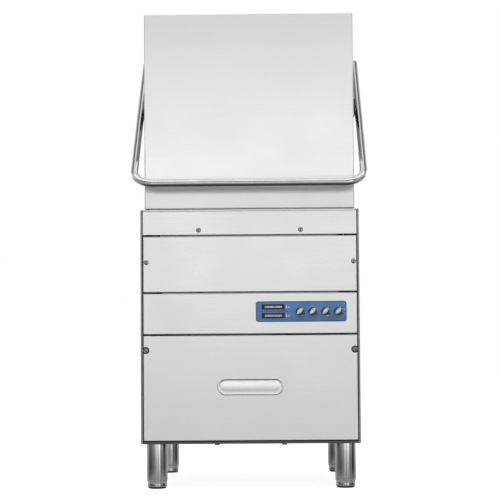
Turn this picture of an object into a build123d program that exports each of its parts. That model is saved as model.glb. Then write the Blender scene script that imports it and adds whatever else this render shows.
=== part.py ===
from build123d import *
import math
import os

# A hood-type pass-through dishwasher, hood closed. Millimetres; X to the right of someone who stands in
# front of it, Y from front to rear, Z up. The origin is on the floor under the middle of its bounding box.

# Cabinet
FRONT_Y = -290.0
BACK_Y = 350.0
HALF_W = 317.5
LIP_Z = 130.5
DECK_Z = 809.0
SHEET = 1.5
PANEL_HALF_W = 310.0
PAN_DEPTH = 14.0
TRAY_Z = 133.0

# Front panels, bottom to top: low and high edges
LOWER_PANEL_Z = (139.0, 443.0)
CONTROL_PANEL_Z = (446.5, 565.0)
MIDDLE_PANEL_Z = (568.5, 731.0)
TOP_FASCIA_Z = (736.0, DECK_Z)
CONTROL_CREASE_Z = 458.5

# Control plate, its two thermometers and its four selectors
PLATE_X = 148.0
PLATE_Z = 511.0
PLATE_W = 263.0
PLATE_H = 60.0
PLATE_T = 1.0
GAUGE_X = 67.0
GAUGE_ZS = (499.2, 524.7)
GAUGE_W = 66.0
GAUGE_H = 14.5
KNOB_X0 = 143.6
KNOB_PITCH = 37.1
KNOB_COUNT = 4
KNOB_TILT = 48.0
KNOB_SHAFT_R = 3.0
KNOB_HOLE_R = 5.0
RUNNING = 0.05
GAP = 0.4

# Fasteners on the front
FASCIA_SCREW = (148.0, 749.0)
MIDDLE_SCREW = (300.6, 656.0)
SCREW_SHANK_R = 2.5
LOCK_X = 302.4
LOCK_Z = 401.0
LOCK_SHAFT_R = 5.0

# Legs
LEG_X = 274.0
LEG_YS = (-242.0, 310.0)
SLEEVE_R = 30.0
SLEEVE_BORE_R = 28.5
SLEEVE_Z = 21.7
FOOT_R = 27.9

# Wash tank and deck
TANK_HALF_X = 255.0
TANK_Y = (-250.0, 240.0)
TANK_FLOOR_Z = 560.0
LEDGE_Z = 778.0
DRAIN_XY = (-205.0, -208.0)
SUCTION_XY = (-180.0, 60.0)

# Riser and spray arms
RISER_HALF_X = 25.0
RISER_Y = (254.0, 280.0)
RISER_TOP_Z = 1326.0
RISER_FOOT_Z = 480.0
SPINDLE_R = 7.0
WASH_ARM_R = 228.0
RINSE_ARM_R = 205.0

# Hood
HOOD_HALF_W = 306.0
HOOD_Y = (-276.0, 287.0)
HOOD_Z = (812.0, 1385.0)

# Rear posts, in which the hood slides
POST_X = (245.0, 295.0)
POST_Y = (290.0, 330.0)
POST_TOP_Z = 1436.0
REAR_Y = 370.0
TOP_Z = 1440.0
SHOE_ZS = ((815.0, 865.0), (960.0, 1010.0))

# Handle: places are (Y, Z) in the side view
HANDLE_X = 331.0
TUBE_R = 11.0
TUBE_WALL = 1.5
BEND_R = 58.0
BAR = (-359.0, 879.0)
TUBE_END = (132.0, 1310.0)
PIVOT = (310.0, 1341.0)
PIVOT_PIN_R = 8.0
ROLLER = (-66.0, 1131.0)
ROLLER_R = 13.5
TAIL_LENGTH = 46.0
LEVER_X = (308.0, 314.0)
GUIDE_X = (HOOD_HALF_W, 319.0)
SPRING_X = 298.0
SPRING_FOOT_Z = 985.0
SPRING_R = 8.0

# Rinse boiler, and pump under the tank: the axis of motor and impeller is along X
BOILER_XY = (190.0, 200.0)
PUMP_Y = 60.0
PUMP_Z = 290.0
VOLUTE_X = (-135.0, -85.0)


def block(x0, x1, y0, y1, z0, z1):
    """A rectangular block between two corners."""
    return Pos((x0 + x1) / 2, (y0 + y1) / 2, (z0 + z1) / 2) * Box(x1 - x0, y1 - y0, z1 - z0)


def rod(start, end, radius):
    """A round bar between two points."""
    run = Vector(*end) - Vector(*start)
    return extrude(Plane(origin=start, z_dir=run.normalized()) * Circle(radius), run.length)


def pipe(points, bend, outer, inner):
    """A round pipe along straight runs joined by arcs of one radius."""
    path = FilletPolyline(*points, radius=bend).wires()[0]
    section = Plane(origin=path @ 0, z_dir=path % 0)
    return sweep(section * Circle(outer), path=path) - sweep(section * Circle(inner), path=path)


def both_sides(shape):
    """The shape and its mirror image on the other side of the machine."""
    return [shape, mirror(shape, Plane.YZ)]


def pan(x0, x1, z0, z1, radius, y0=FRONT_Y):
    """A front panel: a sheet with rounded edges, turned back all round."""
    outer = block(x0, x1, y0, y0 + PAN_DEPTH, z0, z1)
    outer = fillet(outer.faces().sort_by(Axis.Y)[0].edges(), radius)
    inner = block(x0 + SHEET, x1 - SHEET, y0 + SHEET, y0 + PAN_DEPTH + 1, z0 + SHEET, z1 - SHEET)
    inner = fillet(inner.faces().sort_by(Axis.Y)[0].edges(), radius - SHEET)
    return outer - inner


def front_hole(x, z, radius):
    """A tool that drills the front sheet at x, z."""
    return rod((x, FRONT_Y - 5, z), (x, FRONT_Y + 5, z), radius)


def strap(start, start_r, end, end_r):
    """The outline of a flat lever between two round ends, in (Y, Z)."""
    ends = [Pos(*start) * Circle(start_r), Pos(*end) * Circle(end_r)]
    return make_hull([edge for circle in ends for edge in circle.edges()])


def save(name, *shapes):
    """Writes the solids of one node."""
    solids = [solid for shape in shapes for solid in shape.solids()]
    node = solids[0] if len(solids) == 1 else Compound(children=solids)
    export_step(node, f"parts/{name}.step")


def base_frame():
    """Welded frame of angle sections on a folded tray, with a lip along its front."""
    size, wall = 30.0, 2.5
    x = HALF_W - 2.5
    y0, y1 = FRONT_Y + 18, BACK_Y - 4
    top = DECK_Z - 75
    inside_x = (x - size - 1, x - wall)
    frame = block(-x + 3, x - 3, FRONT_Y, y1, TRAY_Z, TRAY_Z + 2)
    frame = frame + block(-x + 3, x - 3, FRONT_Y, FRONT_Y + SHEET, LIP_Z, LIP_Z + 6.5)
    uprights = [
        block(x - size, x, y0, y0 + size, TRAY_Z, top) - block(*inside_x, y0 + wall, y0 + size + 1, 0, top + 1),
        block(x - size, x, y1 - size, y1, TRAY_Z, top) - block(*inside_x, y1 - size - 1, y1 - wall, 0, top + 1),
    ]
    for z in (TRAY_Z, TANK_FLOOR_Z - size - 2):
        bar = block(x - size, x, y0, y1, z, z + size)
        uprights.append(bar - block(*inside_x, y0 - 1, y1 + 1, z + wall, z + size + 1))
    for member in uprights:
        for side in both_sides(member):
            frame = frame + side
    front_bar = block(-x, x, y0, y0 + size, TRAY_Z, TRAY_Z + size)
    frame = frame + (front_bar - block(-x - 1, x + 1, y0 + wall, y0 + size + 1, TRAY_Z + wall, 400))
    for z in (TRAY_Z, top - size):
        rear_bar = block(-x, x, y1 - size, y1, z, z + size)
        frame = frame + (rear_bar - block(-x - 1, x + 1, y1 - size - 1, y1 - wall, z + wall, z + size + 1))
    for tab_x in (-97.0, 97.0):
        frame = frame + block(tab_x - 7, tab_x + 7, FRONT_Y, FRONT_Y + 10, LIP_Z - 3.5, LIP_Z)
    return [frame]


def side_panel():
    """Right side panel: a sheet with its front and rear edges bent round."""
    line = FilletPolyline(
        (HALF_W - 5, FRONT_Y + SHEET / 2),
        (HALF_W - SHEET / 2, FRONT_Y + SHEET / 2),
        (HALF_W - SHEET / 2, BACK_Y - SHEET / 2),
        (HALF_W - 13.5, BACK_Y - SHEET / 2),
        radius=3,
    )
    return Pos(0, 0, LIP_Z) * extrude(trace(line, line_width=SHEET), DECK_Z - LIP_Z)


def back_panel():
    """Rear sheet with holes for the services and a louvred vent field."""
    sheet = block(-303, 303, BACK_Y - SHEET, BACK_Y, LIP_Z + 6, DECK_Z - SHEET)
    for x, z, radius in ((-200, 230, 14.5), (0, 200, 17.5), (200, 230, 12)):
        sheet = sheet - rod((x, BACK_Y - 5, z), (x, BACK_Y + 5, z), radius)
    for row in range(8):
        z = 380 + 14 * row
        sheet = sheet - block(-70, 70, BACK_Y - 5, BACK_Y + 5, z, z + 4)
    return [sheet]


def top_fascia():
    """Uppermost front strip, well rounded where it meets the deck."""
    strip = block(-PANEL_HALF_W, PANEL_HALF_W, FRONT_Y, FRONT_Y + PAN_DEPTH, *TOP_FASCIA_Z)
    top_edge = strip.edges().filter_by(Axis.X).sort_by(Axis.Z)[-2:].sort_by(Axis.Y)[0]
    strip = fillet(top_edge, 6)
    inner = block(
        -PANEL_HALF_W + SHEET, PANEL_HALF_W - SHEET, FRONT_Y + SHEET, FRONT_Y + PAN_DEPTH + 1,
        TOP_FASCIA_Z[0] + SHEET, TOP_FASCIA_Z[1] - SHEET,
    )
    inner_edge = inner.edges().filter_by(Axis.X).sort_by(Axis.Z)[-2:].sort_by(Axis.Y)[0]
    strip = strip - fillet(inner_edge, 4.5)
    for x in (-FASCIA_SCREW[0], FASCIA_SCREW[0]):
        strip = strip - front_hole(x, FASCIA_SCREW[1], SCREW_SHANK_R)
    return [strip]


def middle_panel():
    """Plain service panel held by a dome screw at each side."""
    panel = pan(-PANEL_HALF_W, PANEL_HALF_W, *MIDDLE_PANEL_Z, radius=2.5)
    for x in (-MIDDLE_SCREW[0], MIDDLE_SCREW[0]):
        panel = panel - front_hole(x, MIDDLE_SCREW[1], SCREW_SHANK_R)
    return [panel]


def control_panel():
    """Panel that carries the control plate, with a crease near its lower edge."""
    panel = pan(-PANEL_HALF_W, PANEL_HALF_W, *CONTROL_PANEL_Z, radius=2.5)
    panel = panel - block(-320, 320, FRONT_Y - 1, FRONT_Y + 0.7, CONTROL_CREASE_Z - 0.8, CONTROL_CREASE_Z + 0.8)
    for z in GAUGE_ZS:
        panel = panel - gauge_block(z, FRONT_Y - 5, FRONT_Y + 5)
    for x in knob_xs():
        panel = panel - front_hole(x, PLATE_Z, KNOB_HOLE_R)
    return [panel]


def lower_panel():
    """Large removable panel with rounded lower corners and a hole for each quarter-turn lock."""
    panel = pan(-PANEL_HALF_W, PANEL_HALF_W, *LOWER_PANEL_Z, radius=2.5)
    for x in (-LOCK_X, LOCK_X):
        panel = panel - front_hole(x, LOCK_Z, LOCK_SHAFT_R + 0.5)
    return [panel]


def knob_xs():
    """X of each selector."""
    return [KNOB_X0 + KNOB_PITCH * i for i in range(KNOB_COUNT)]


def gauge_block(z, y0, y1):
    """The rectangular body of a thermometer at height z."""
    return block(GAUGE_X - GAUGE_W / 2, GAUGE_X + GAUGE_W / 2, y0, y1, z - GAUGE_H / 2, z + GAUGE_H / 2)


def control_plate():
    """Thin coloured plate around the thermometers and selectors."""
    plate = Plane.XZ * Pos(PLATE_X, PLATE_Z) * RectangleRounded(PLATE_W, PLATE_H, 8)
    plate = Pos(0, FRONT_Y, 0) * extrude(plate, PLATE_T)
    for z in GAUGE_ZS:
        plate = plate - gauge_block(z, FRONT_Y - 5, FRONT_Y + 5)
    for x in knob_xs():
        plate = plate - front_hole(x, PLATE_Z, KNOB_HOLE_R)
    return [plate]


def thermometers():
    """Two dial thermometers with strip windows, each with the stub of its capillary."""
    gauges = []
    for z in GAUGE_ZS:
        body = gauge_block(z, FRONT_Y - PLATE_T + 0.2, FRONT_Y + 30)
        window = block(
            GAUGE_X - 28, GAUGE_X + 28, FRONT_Y - 5, FRONT_Y + 0.6, z - GAUGE_H / 2 + 3, z + GAUGE_H / 2 - 3
        )
        stub = rod((GAUGE_X, FRONT_Y + 30, z), (GAUGE_X, FRONT_Y + 42, z), 2)
        gauges.append(body - window + stub)
    return gauges


def emblem():
    """Blank raised badge: an oval plate with a rim."""
    outline = Plane.XZ * Pos(0, 295) * SlotOverall(193, 50)
    field = Plane.XZ * Pos(0, 295) * SlotOverall(185, 42)
    badge = Pos(0, FRONT_Y, 0) * extrude(outline, 2)
    return [badge - Pos(0, FRONT_Y - 1, 0) * extrude(field, 2)]


def panel_screws():
    """Dome-headed screws of the top fascia and the middle panel."""
    screws = []
    for x, z in (FASCIA_SCREW, MIDDLE_SCREW):
        head = rod((x, FRONT_Y, z), (x, FRONT_Y - 3.2, z), 6.3)
        head = fillet(head.edges().filter_by(GeomType.CIRCLE).sort_by(Axis.Y)[0], 2.6)
        screw = head + rod((x, FRONT_Y, z), (x, FRONT_Y + 10, z), SCREW_SHANK_R)
        screws += both_sides(screw)
    return screws


def rotary_switches():
    """Switch bodies behind the selectors, bored for the selector shafts."""
    switches = []
    for x in knob_xs():
        body = block(x - 15, x + 15, FRONT_Y + 4, FRONT_Y + 44, PLATE_Z - 18, PLATE_Z + 18)
        bore = rod((x, FRONT_Y, PLATE_Z), (x, FRONT_Y + 22, PLATE_Z), KNOB_SHAFT_R + RUNNING)
        switches.append(body - bore)
    return switches


def knob(x):
    """A selector: round skirt, lens-shaped grip and shaft."""
    face = FRONT_Y - PLATE_T - GAP
    skirt = rod((x, face, PLATE_Z), (x, face - 3.5, PLATE_Z), 10)
    skirt = chamfer(skirt.edges().filter_by(GeomType.CIRCLE).sort_by(Axis.Y)[0], 1)
    bow = ThreePointArc((-12.5, 0), (0, 5), (12.5, 0))
    grip = make_face([bow, mirror(bow, Plane.XZ)])
    grip = Pos(x, face, PLATE_Z) * (Plane.XZ * Rot(0, 0, KNOB_TILT) * grip)
    grip = extrude(grip, 13)
    shaft = rod((x, face, PLATE_Z), (x, FRONT_Y + 20, PLATE_Z), KNOB_SHAFT_R)
    return [skirt + grip + shaft]


def panel_lock(x):
    """A quarter-turn lock: slotted head, shaft and the cam behind the panel."""
    face = FRONT_Y - GAP
    outward = math.copysign(1, x)
    head = rod((x, face, LOCK_Z), (x, face - 3, LOCK_Z), 9.5)
    head = fillet(head.edges().filter_by(GeomType.CIRCLE).sort_by(Axis.Y)[0], 1.5)
    head = head - block(x - 7, x + 7, face - 4, face - 1.4, LOCK_Z - 0.8, LOCK_Z + 0.8)
    shaft = rod((x, face, LOCK_Z), (x, FRONT_Y + 17, LOCK_Z), LOCK_SHAFT_R)
    cam_end = x + outward * 12
    cam = block(min(x, cam_end), max(x, cam_end), FRONT_Y + 14.5, FRONT_Y + 17, LOCK_Z - 4, LOCK_Z + 4)
    return [head + shaft + cam]


def leg_sleeves():
    """Fixed upper parts of the four legs, open below."""
    sleeves = []
    for y in LEG_YS:
        sleeve = rod((LEG_X, y, SLEEVE_Z), (LEG_X, y, TRAY_Z), SLEEVE_R)
        sleeve = sleeve - rod((LEG_X, y, SLEEVE_Z - 1), (LEG_X, y, TRAY_Z - 3), SLEEVE_BORE_R)
        sleeves += both_sides(sleeve)
    return sleeves


def foot(x, y):
    """Adjustable foot: a cup, open above, rounded at the floor."""
    body = rod((x, y, 0), (x, y, 80), FOOT_R)
    body = fillet(body.edges().filter_by(GeomType.CIRCLE).sort_by(Axis.Z)[0], 5)
    return [body - rod((x, y, 10), (x, y, 81), FOOT_R - 3)]


def wash_tank():
    """Open tub welded from flat sheets under the deck, with a ledge on each side for the filters."""
    x = TANK_HALF_X
    y0, y1 = TANK_Y
    top = DECK_Z - SHEET
    wall_z = (TANK_FLOOR_Z + SHEET, top)
    floor = block(-x - SHEET, x + SHEET, y0 - SHEET, y1 + SHEET, TANK_FLOOR_Z, wall_z[0])
    for (hole_x, hole_y), radius in ((DRAIN_XY, 12), (SUCTION_XY, 23), ((0, 0), 14)):
        floor = floor - rod((hole_x, hole_y, TANK_FLOOR_Z - 5), (hole_x, hole_y, TANK_FLOOR_Z + 5), radius)
    sheets = [floor]
    sheets.append(block(-x - SHEET, x + SHEET, y0 - SHEET, y0, *wall_z))
    sheets.append(block(-x - SHEET, x + SHEET, y1, y1 + SHEET, *wall_z))
    sheets += both_sides(block(x, x + SHEET, y0, y1, *wall_z))
    sheets += both_sides(block(x - 10, x, y0, y1, LEDGE_Z - 4, LEDGE_Z))
    return sheets


def deck_rim():
    """Deck around the tank's mouth, with a low wall that keeps water inside the hood."""
    deck = block(-HALF_W + 1.6, HALF_W - 1.6, FRONT_Y + PAN_DEPTH, BACK_Y - 5, DECK_Z - SHEET, DECK_Z)
    wall = block(-296, 296, -260, 283, DECK_Z - SHEET, DECK_Z + 13)
    wall = wall - block(-294.5, 294.5, -258.5, 281.5, 700, 900)
    deck = deck + wall
    deck = deck - block(-TANK_HALF_X, TANK_HALF_X, *TANK_Y, 700, 900)
    return [deck - block(-RISER_HALF_X, RISER_HALF_X, *RISER_Y, 700, 900)]


def tank_filters():
    """Two lift-out filter trays, and the strainer basket over the pump's suction.

    The trays leave a square opening around the middle column, and the left one a corner for the standpipe.
    """
    y0, y1 = TANK_Y[0] + 1, TANK_Y[1] - 1
    column = block(-20, 20, -20, 20, LEDGE_Z - 5, LEDGE_Z + 20)
    corner = block(-TANK_HALF_X, DRAIN_XY[0] + 26, y0 - 1, DRAIN_XY[1] + 26, LEDGE_Z - 5, LEDGE_Z + 20)
    trays = []
    for near, far in ((1.0 - TANK_HALF_X, -1.0), (1.0, TANK_HALF_X - 1)):
        tray = block(near, far, y0, y1, LEDGE_Z, LEDGE_Z + 10)
        tray = tray - block(near + 1.5, far - 1.5, y0 + 1.5, y1 - 1.5, LEDGE_Z + 1.5, LEDGE_Z + 11)
        trays.append(tray - column - corner)
    floor = TANK_FLOOR_Z + SHEET
    basket = rod((*SUCTION_XY, floor), (*SUCTION_XY, floor + 70), 45)
    basket = basket - rod((*SUCTION_XY, floor - 1), (*SUCTION_XY, floor + 68), 43)
    return trays + [basket]


def overflow_pipe():
    """Standpipe that closes the drain and is lifted out by its cross handle."""
    floor = TANK_FLOOR_Z + SHEET
    body = rod((*DRAIN_XY, floor), (*DRAIN_XY, 770), 16) - rod((*DRAIN_XY, floor - 1), (*DRAIN_XY, 771), 13)
    plug = rod((*DRAIN_XY, floor - 8), (*DRAIN_XY, floor + 6), 10.4)
    plug = plug + rod((*DRAIN_XY, floor), (*DRAIN_XY, floor + 6), 14)
    x, y = DRAIN_XY
    grip = block(x - 14.5, x + 14.5, y - 2, y + 2, 745, 795)
    grip = grip - block(x - 9, x + 9, y - 5, y + 5, 755, 787)
    return [body + plug + grip]


def rack_rails():
    """Two angle rails along which a rack slides from side to side, on cross bars with short feet."""
    front_y, rear_y = -258.0, 252.5
    front = block(-262, 262, front_y, front_y + 26, 838, 840)
    front = front + block(-262, 262, front_y, front_y + SHEET, 838, 852)
    rear = block(-262, 262, rear_y - 26, rear_y, 838, 840)
    rear = rear + block(-262, 262, rear_y - SHEET, rear_y, 838, 852)
    rails = front + rear
    for x in (-248, 248):
        rails = rails + rod((x, front_y + 3, 835), (x, rear_y - 3, 835), 4)
        for y in (-254.2, 247.0):
            rails = rails + rod((x * 1.03, y, DECK_Z), (x * 1.03, y, 838.5), 3)
    return [rails]


def spray_arm(z0, z1, width, radius, angle, slot_side):
    """A two-ended hollow arm on a bored hub, with a row of jets on one face."""
    middle = (z0 + z1) / 2
    bar = Pos(0, 0, z0) * extrude(SlotOverall(2 * radius, width), z1 - z0)
    rims = bar.edges().group_by(Axis.Z)
    bar = fillet(rims[0] + rims[-1], (z1 - z0) * 0.35)
    arm = bar + rod((0, 0, z0), (0, 0, z1), width * 0.72)
    jet_z = z1 if slot_side > 0 else z0
    for jet in range(5):
        x = radius * (0.3 + 0.155 * jet)
        for place in (x, -x):
            arm = arm - block(place - 1.2, place + 1.2, -width * 0.3, width * 0.3, jet_z - 1.2, jet_z + 1.2)
    arm = arm - rod((0, 0, z0 - 1), (0, 0, z1 + 1), SPINDLE_R + RUNNING)
    return [Rot(0, 0, angle) * arm]


def arm_spindles():
    """Column with the lower pair of arms' pin, and the pin that hangs the upper pair."""
    floor = TANK_FLOOR_Z + SHEET
    lower = rod((0, 0, floor), (0, 0, 794), 17) - rod((0, 0, floor - 1), (0, 0, 788), 14)
    lower = lower + rod((0, 0, 790), (0, 0, 826), SPINDLE_R)
    lower = lower + rod((0, 0, 825.5), (0, 0, 831), 12)
    duct = RISER_TOP_Z - 26
    upper = rod((0, 0, duct - 5), (0, 0, duct), 22)
    upper = upper + rod((0, 0, 1262), (0, 0, duct - 4), SPINDLE_R)
    upper = upper + rod((0, 0, 1256), (0, 0, 1262.5), 12)
    return [lower, upper]


def riser_pipe():
    """Flattened duct that climbs the rear of the chamber and reaches over its middle."""
    x = RISER_HALF_X
    y0, y1 = RISER_Y
    top = RISER_TOP_Z
    duct = block(-x, x, y0, y1, RISER_FOOT_Z, top) + block(-x, x, -x, y1, top - 26, top)
    corner = duct.edges().filter_by(Axis.X).sort_by(Axis.Z)[-2:].sort_by(Axis.Y)[-1]
    duct = fillet(corner, 14)
    bore = block(-x + 1.5, x - 1.5, y0 + 1.5, y1 - 1.5, RISER_FOOT_Z - 1, top - 1.5)
    bore = bore + block(-x + 1.5, x - 1.5, -x + 1.5, y1 - 1.5, top - 24.5, top - 1.5)
    corner = bore.edges().filter_by(Axis.X).sort_by(Axis.Z)[-2:].sort_by(Axis.Y)[-1]
    return [duct - fillet(corner, 12.5)]


def pump_volute():
    """Pump housing with an inlet at its left side and an outlet on top."""
    x0, x1 = VOLUTE_X
    case = rod((x0, PUMP_Y, PUMP_Z), (x1, PUMP_Y, PUMP_Z), 80)
    x = (x0 + x1) / 2
    outlet = rod((x, PUMP_Y + 50, PUMP_Z), (x, PUMP_Y + 50, PUMP_Z + 95), 22)
    case = case + outlet
    case = case - rod((x0 + 6, PUMP_Y, PUMP_Z), (x1 - 6, PUMP_Y, PUMP_Z), 72)
    case = case - rod((x, PUMP_Y + 50, PUMP_Z), (x, PUMP_Y + 50, PUMP_Z + 96), 18)
    case = case - rod((x0 - 1, PUMP_Y, PUMP_Z), (x0 + 10, PUMP_Y, PUMP_Z), 20)
    return [case - rod((x1 - 10, PUMP_Y, PUMP_Z), (x1 + 1, PUMP_Y, PUMP_Z), SPINDLE_R + RUNNING)]


def pump_impeller():
    """Vaned wheel on the motor's shaft."""
    x0, x1 = VOLUTE_X
    wheel = rod((x1 - 14, PUMP_Y, PUMP_Z), (x1 - 10, PUMP_Y, PUMP_Z), 62)
    hub = rod((x0 + 14, PUMP_Y, PUMP_Z), (x1 - 10, PUMP_Y, PUMP_Z), 14)
    wheel = wheel + hub + rod((x1 - 12, PUMP_Y, PUMP_Z), (x1 + 60, PUMP_Y, PUMP_Z), SPINDLE_R)
    vane = block(x0 + 16, x1 - 12, -1.5, 1.5, 8, 60)
    for turn in range(6):
        wheel = wheel + Pos(0, PUMP_Y, PUMP_Z) * (Rot(60 * turn, 0, 0) * vane)
    return [wheel]


def pump_motor():
    """Finned motor bored for the impeller shaft, on a foot plate."""
    x0 = VOLUTE_X[1]
    motor = rod((x0, PUMP_Y, PUMP_Z), (x0 + 200, PUMP_Y, PUMP_Z), 58)
    for fin in range(8):
        x = x0 + 40 + 16 * fin
        motor = motor + rod((x, PUMP_Y, PUMP_Z), (x + 4, PUMP_Y, PUMP_Z), 64)
    motor = motor + block(x0 + 30, x0 + 160, PUMP_Y - 50, PUMP_Y + 50, TRAY_Z + 2, PUMP_Z - 40)
    return [motor - rod((x0 - 1, PUMP_Y, PUMP_Z), (x0 + 62, PUMP_Y, PUMP_Z), SPINDLE_R + RUNNING)]


def water_pipes():
    """Suction from the tank, delivery to the lower column and the riser, and the drain line."""
    x0, x1 = VOLUTE_X
    middle = (x0 + x1) / 2
    suction = pipe(
        [(*SUCTION_XY, TANK_FLOOR_Z), (*SUCTION_XY, PUMP_Z), (x0, PUMP_Y, PUMP_Z)], 34, 22, 20
    )
    outlet_y = PUMP_Y + 50
    feed_z = 450.0
    main_run = [
        (middle, outlet_y, PUMP_Z + 95), (middle, outlet_y, feed_z), (0, outlet_y + 30, feed_z),
        (0, 267, feed_z), (0, 267, RISER_FOOT_Z),
    ]
    main_path = FilletPolyline(*main_run, radius=(20, 20, 12)).wires()[0]
    branch_run = [(0, 160, feed_z), (0, 0, feed_z), (0, 0, TANK_FLOOR_Z)]
    branch_path = FilletPolyline(*branch_run, radius=30).wires()[0]
    outer = sweep(Plane(origin=main_path @ 0, z_dir=main_path % 0) * Circle(12), path=main_path)
    outer = outer + sweep(Plane(origin=branch_path @ 0, z_dir=branch_path % 0) * Circle(12), path=branch_path)
    inner = sweep(Plane(origin=main_path @ 0, z_dir=main_path % 0) * Circle(10), path=main_path)
    inner = inner + sweep(Plane(origin=branch_path @ 0, z_dir=branch_path % 0) * Circle(10), path=branch_path)
    drain = pipe([(*DRAIN_XY, TANK_FLOOR_Z), (*DRAIN_XY, 236), (-205, -150, 236)], 24, 13, 11)
    return [suction, outer - inner, drain]


def boiler():
    """Rinse boiler: an upright vessel with domed ends, an element flange below and two legs."""
    x, y = BOILER_XY
    vessel = rod((x, y, 180), (x, y, 480), 86)
    vessel = fillet(vessel.edges().filter_by(GeomType.CIRCLE), 24)
    flange = rod((x, y, 160), (x, y, 186), 45)
    room = rod((x, y, 182), (x, y, 478), 84)
    room = fillet(room.edges().filter_by(GeomType.CIRCLE), 22)
    vessel = vessel + flange - room - rod((x, y, 168), (x, y, 200), 38)
    for leg_x in (x - 76, x + 70):
        vessel = vessel + block(leg_x, leg_x + 6, y - 12, y + 12, TRAY_Z + 2, 225)
    return [vessel - room]


def heating_elements():
    """Bent tubular elements: one inside the boiler, one on the floor of the tank."""
    x, y = BOILER_XY
    loop = FilletPolyline((x - 25, y, 168), (x - 25, y, 430), (x + 25, y, 430), (x + 25, y, 168), radius=24)
    in_boiler = sweep(Plane(origin=loop @ 0, z_dir=loop % 0) * Circle(4), path=loop.wires()[0])
    z = TANK_FLOOR_Z + 22
    loop = FilletPolyline((TANK_HALF_X, -60, z), (60, -60, z), (60, -150, z), (TANK_HALF_X, -150, z), radius=30)
    in_tank = sweep(Plane(origin=loop @ 0, z_dir=loop % 0) * Circle(4.5), path=loop.wires()[0])
    return [in_boiler, in_tank]


def drain_pump():
    """Small drain pump on the tray, with its inlet at the side of the drain line."""
    body = rod((-205, -150, 236), (-205, -90, 236), 40)
    motor = rod((-205, -90, 236), (-205, -10, 236), 28)
    stand = block(-225, -185, -140, -60, TRAY_Z + 2, 212)
    outlet = rod((-205, -120, 236), (-245, -120, 236), 14) + rod((-245, -120, 222), (-245, -120, 250), 14)
    return [body + motor + stand + outlet]


def water_inlet_valve():
    """Brass inlet with a solenoid valve behind the rear sheet; the threaded end faces the rear."""
    x, z = -200.0, 230.0
    thread = rod((x, BACK_Y - 4, z), (x, BACK_Y + 16, z), 13.2)
    collar = rod((x, BACK_Y - SHEET - 6, z), (x, BACK_Y - SHEET, z), 17)
    body = rod((x, BACK_Y - 70, z), (x, BACK_Y - 6, z), 15)
    coil = rod((x, BACK_Y - 45, z), (x, BACK_Y - 45, z + 55), 16)
    valve = thread + collar + body + coil
    return [valve - rod((x, BACK_Y - 20, z), (x, BACK_Y + 17, z), 9)]


def rear_outlets():
    """Drain spigot and cable gland, side by side low on the rear sheet."""
    spigot = rod((0, BACK_Y - 40, 200), (0, BACK_Y + 20, 200), 16)
    spigot = spigot + rod((0, BACK_Y - SHEET - 5, 200), (0, BACK_Y - SHEET, 200), 24)
    spigot = spigot - rod((0, BACK_Y - 41, 200), (0, BACK_Y + 21, 200), 13)
    gland = rod((200, BACK_Y - 14, 230), (200, BACK_Y + 3, 230), 12)
    nut = extrude(Plane.XZ * RegularPolygon(15, 6), 12)
    gland = gland + Pos(200, BACK_Y + 12, 230) * nut
    gland = gland + rod((200, BACK_Y + 11, 230), (200, BACK_Y + 18, 230), 11)
    gland = gland - rod((200, BACK_Y - 15, 230), (200, BACK_Y + 19, 230), 7)
    return [spigot, gland]


def dosing_pumps():
    """Detergent and rinse-aid pumps on a bracket behind the lower panel."""
    pumps = []
    for x in (100.0, 170.0):
        head = rod((x, FRONT_Y + 40, 380), (x, FRONT_Y + 60, 380), 26)
        pumps.append(head + rod((x, FRONT_Y + 60, 380), (x, FRONT_Y + 110, 380), 18))
    bracket = block(60, 210, FRONT_Y + 110, FRONT_Y + 112, 330, 430)
    return [pumps[0] + bracket + pumps[1]]


def electrical_box():
    """Closed box for contactors and terminals."""
    outer = block(-175, 50, FRONT_Y + 55, FRONT_Y + 115, 330, 520)
    inner = block(-173.5, 48.5, FRONT_Y + 56.5, FRONT_Y + 113.5, 331.5, 518.5)
    rail = block(-160, 35, FRONT_Y + 105, FRONT_Y + 113.5, 405, 440)
    return [outer - inner + rail]


def hood_front():
    """Front of the hood: a pan with turned-back edges."""
    return [pan(-HOOD_HALF_W, HOOD_HALF_W, *HOOD_Z, radius=3, y0=HOOD_Y[0])]


def hood_side():
    """Right side of the hood: a sheet bent inwards at its top and bottom edges."""
    outer = HOOD_HALF_W - SHEET / 2
    line = FilletPolyline(
        (300, HOOD_Z[0] + SHEET / 2),
        (outer, HOOD_Z[0] + SHEET / 2),
        (outer, HOOD_Z[1] - SHEET / 2),
        (HOOD_HALF_W - 20, HOOD_Z[1] - SHEET / 2),
        radius=3,
    )
    y0, y1 = HOOD_Y[0] + PAN_DEPTH, HOOD_Y[1] - SHEET
    return Pos(0, y1, 0) * extrude(Plane.XZ * trace(line, line_width=SHEET), y1 - y0)


def hood_top():
    """Flat top sheet between the sides' bent edges."""
    x = HOOD_HALF_W - 20
    return [block(-x, x, HOOD_Y[0] + PAN_DEPTH, HOOD_Y[1] - SHEET, HOOD_Z[1] - SHEET, HOOD_Z[1])]


def hood_back():
    """Rear wall of the hood."""
    return [block(-HOOD_HALF_W, HOOD_HALF_W, HOOD_Y[1] - SHEET, HOOD_Y[1], *HOOD_Z)]


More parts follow.
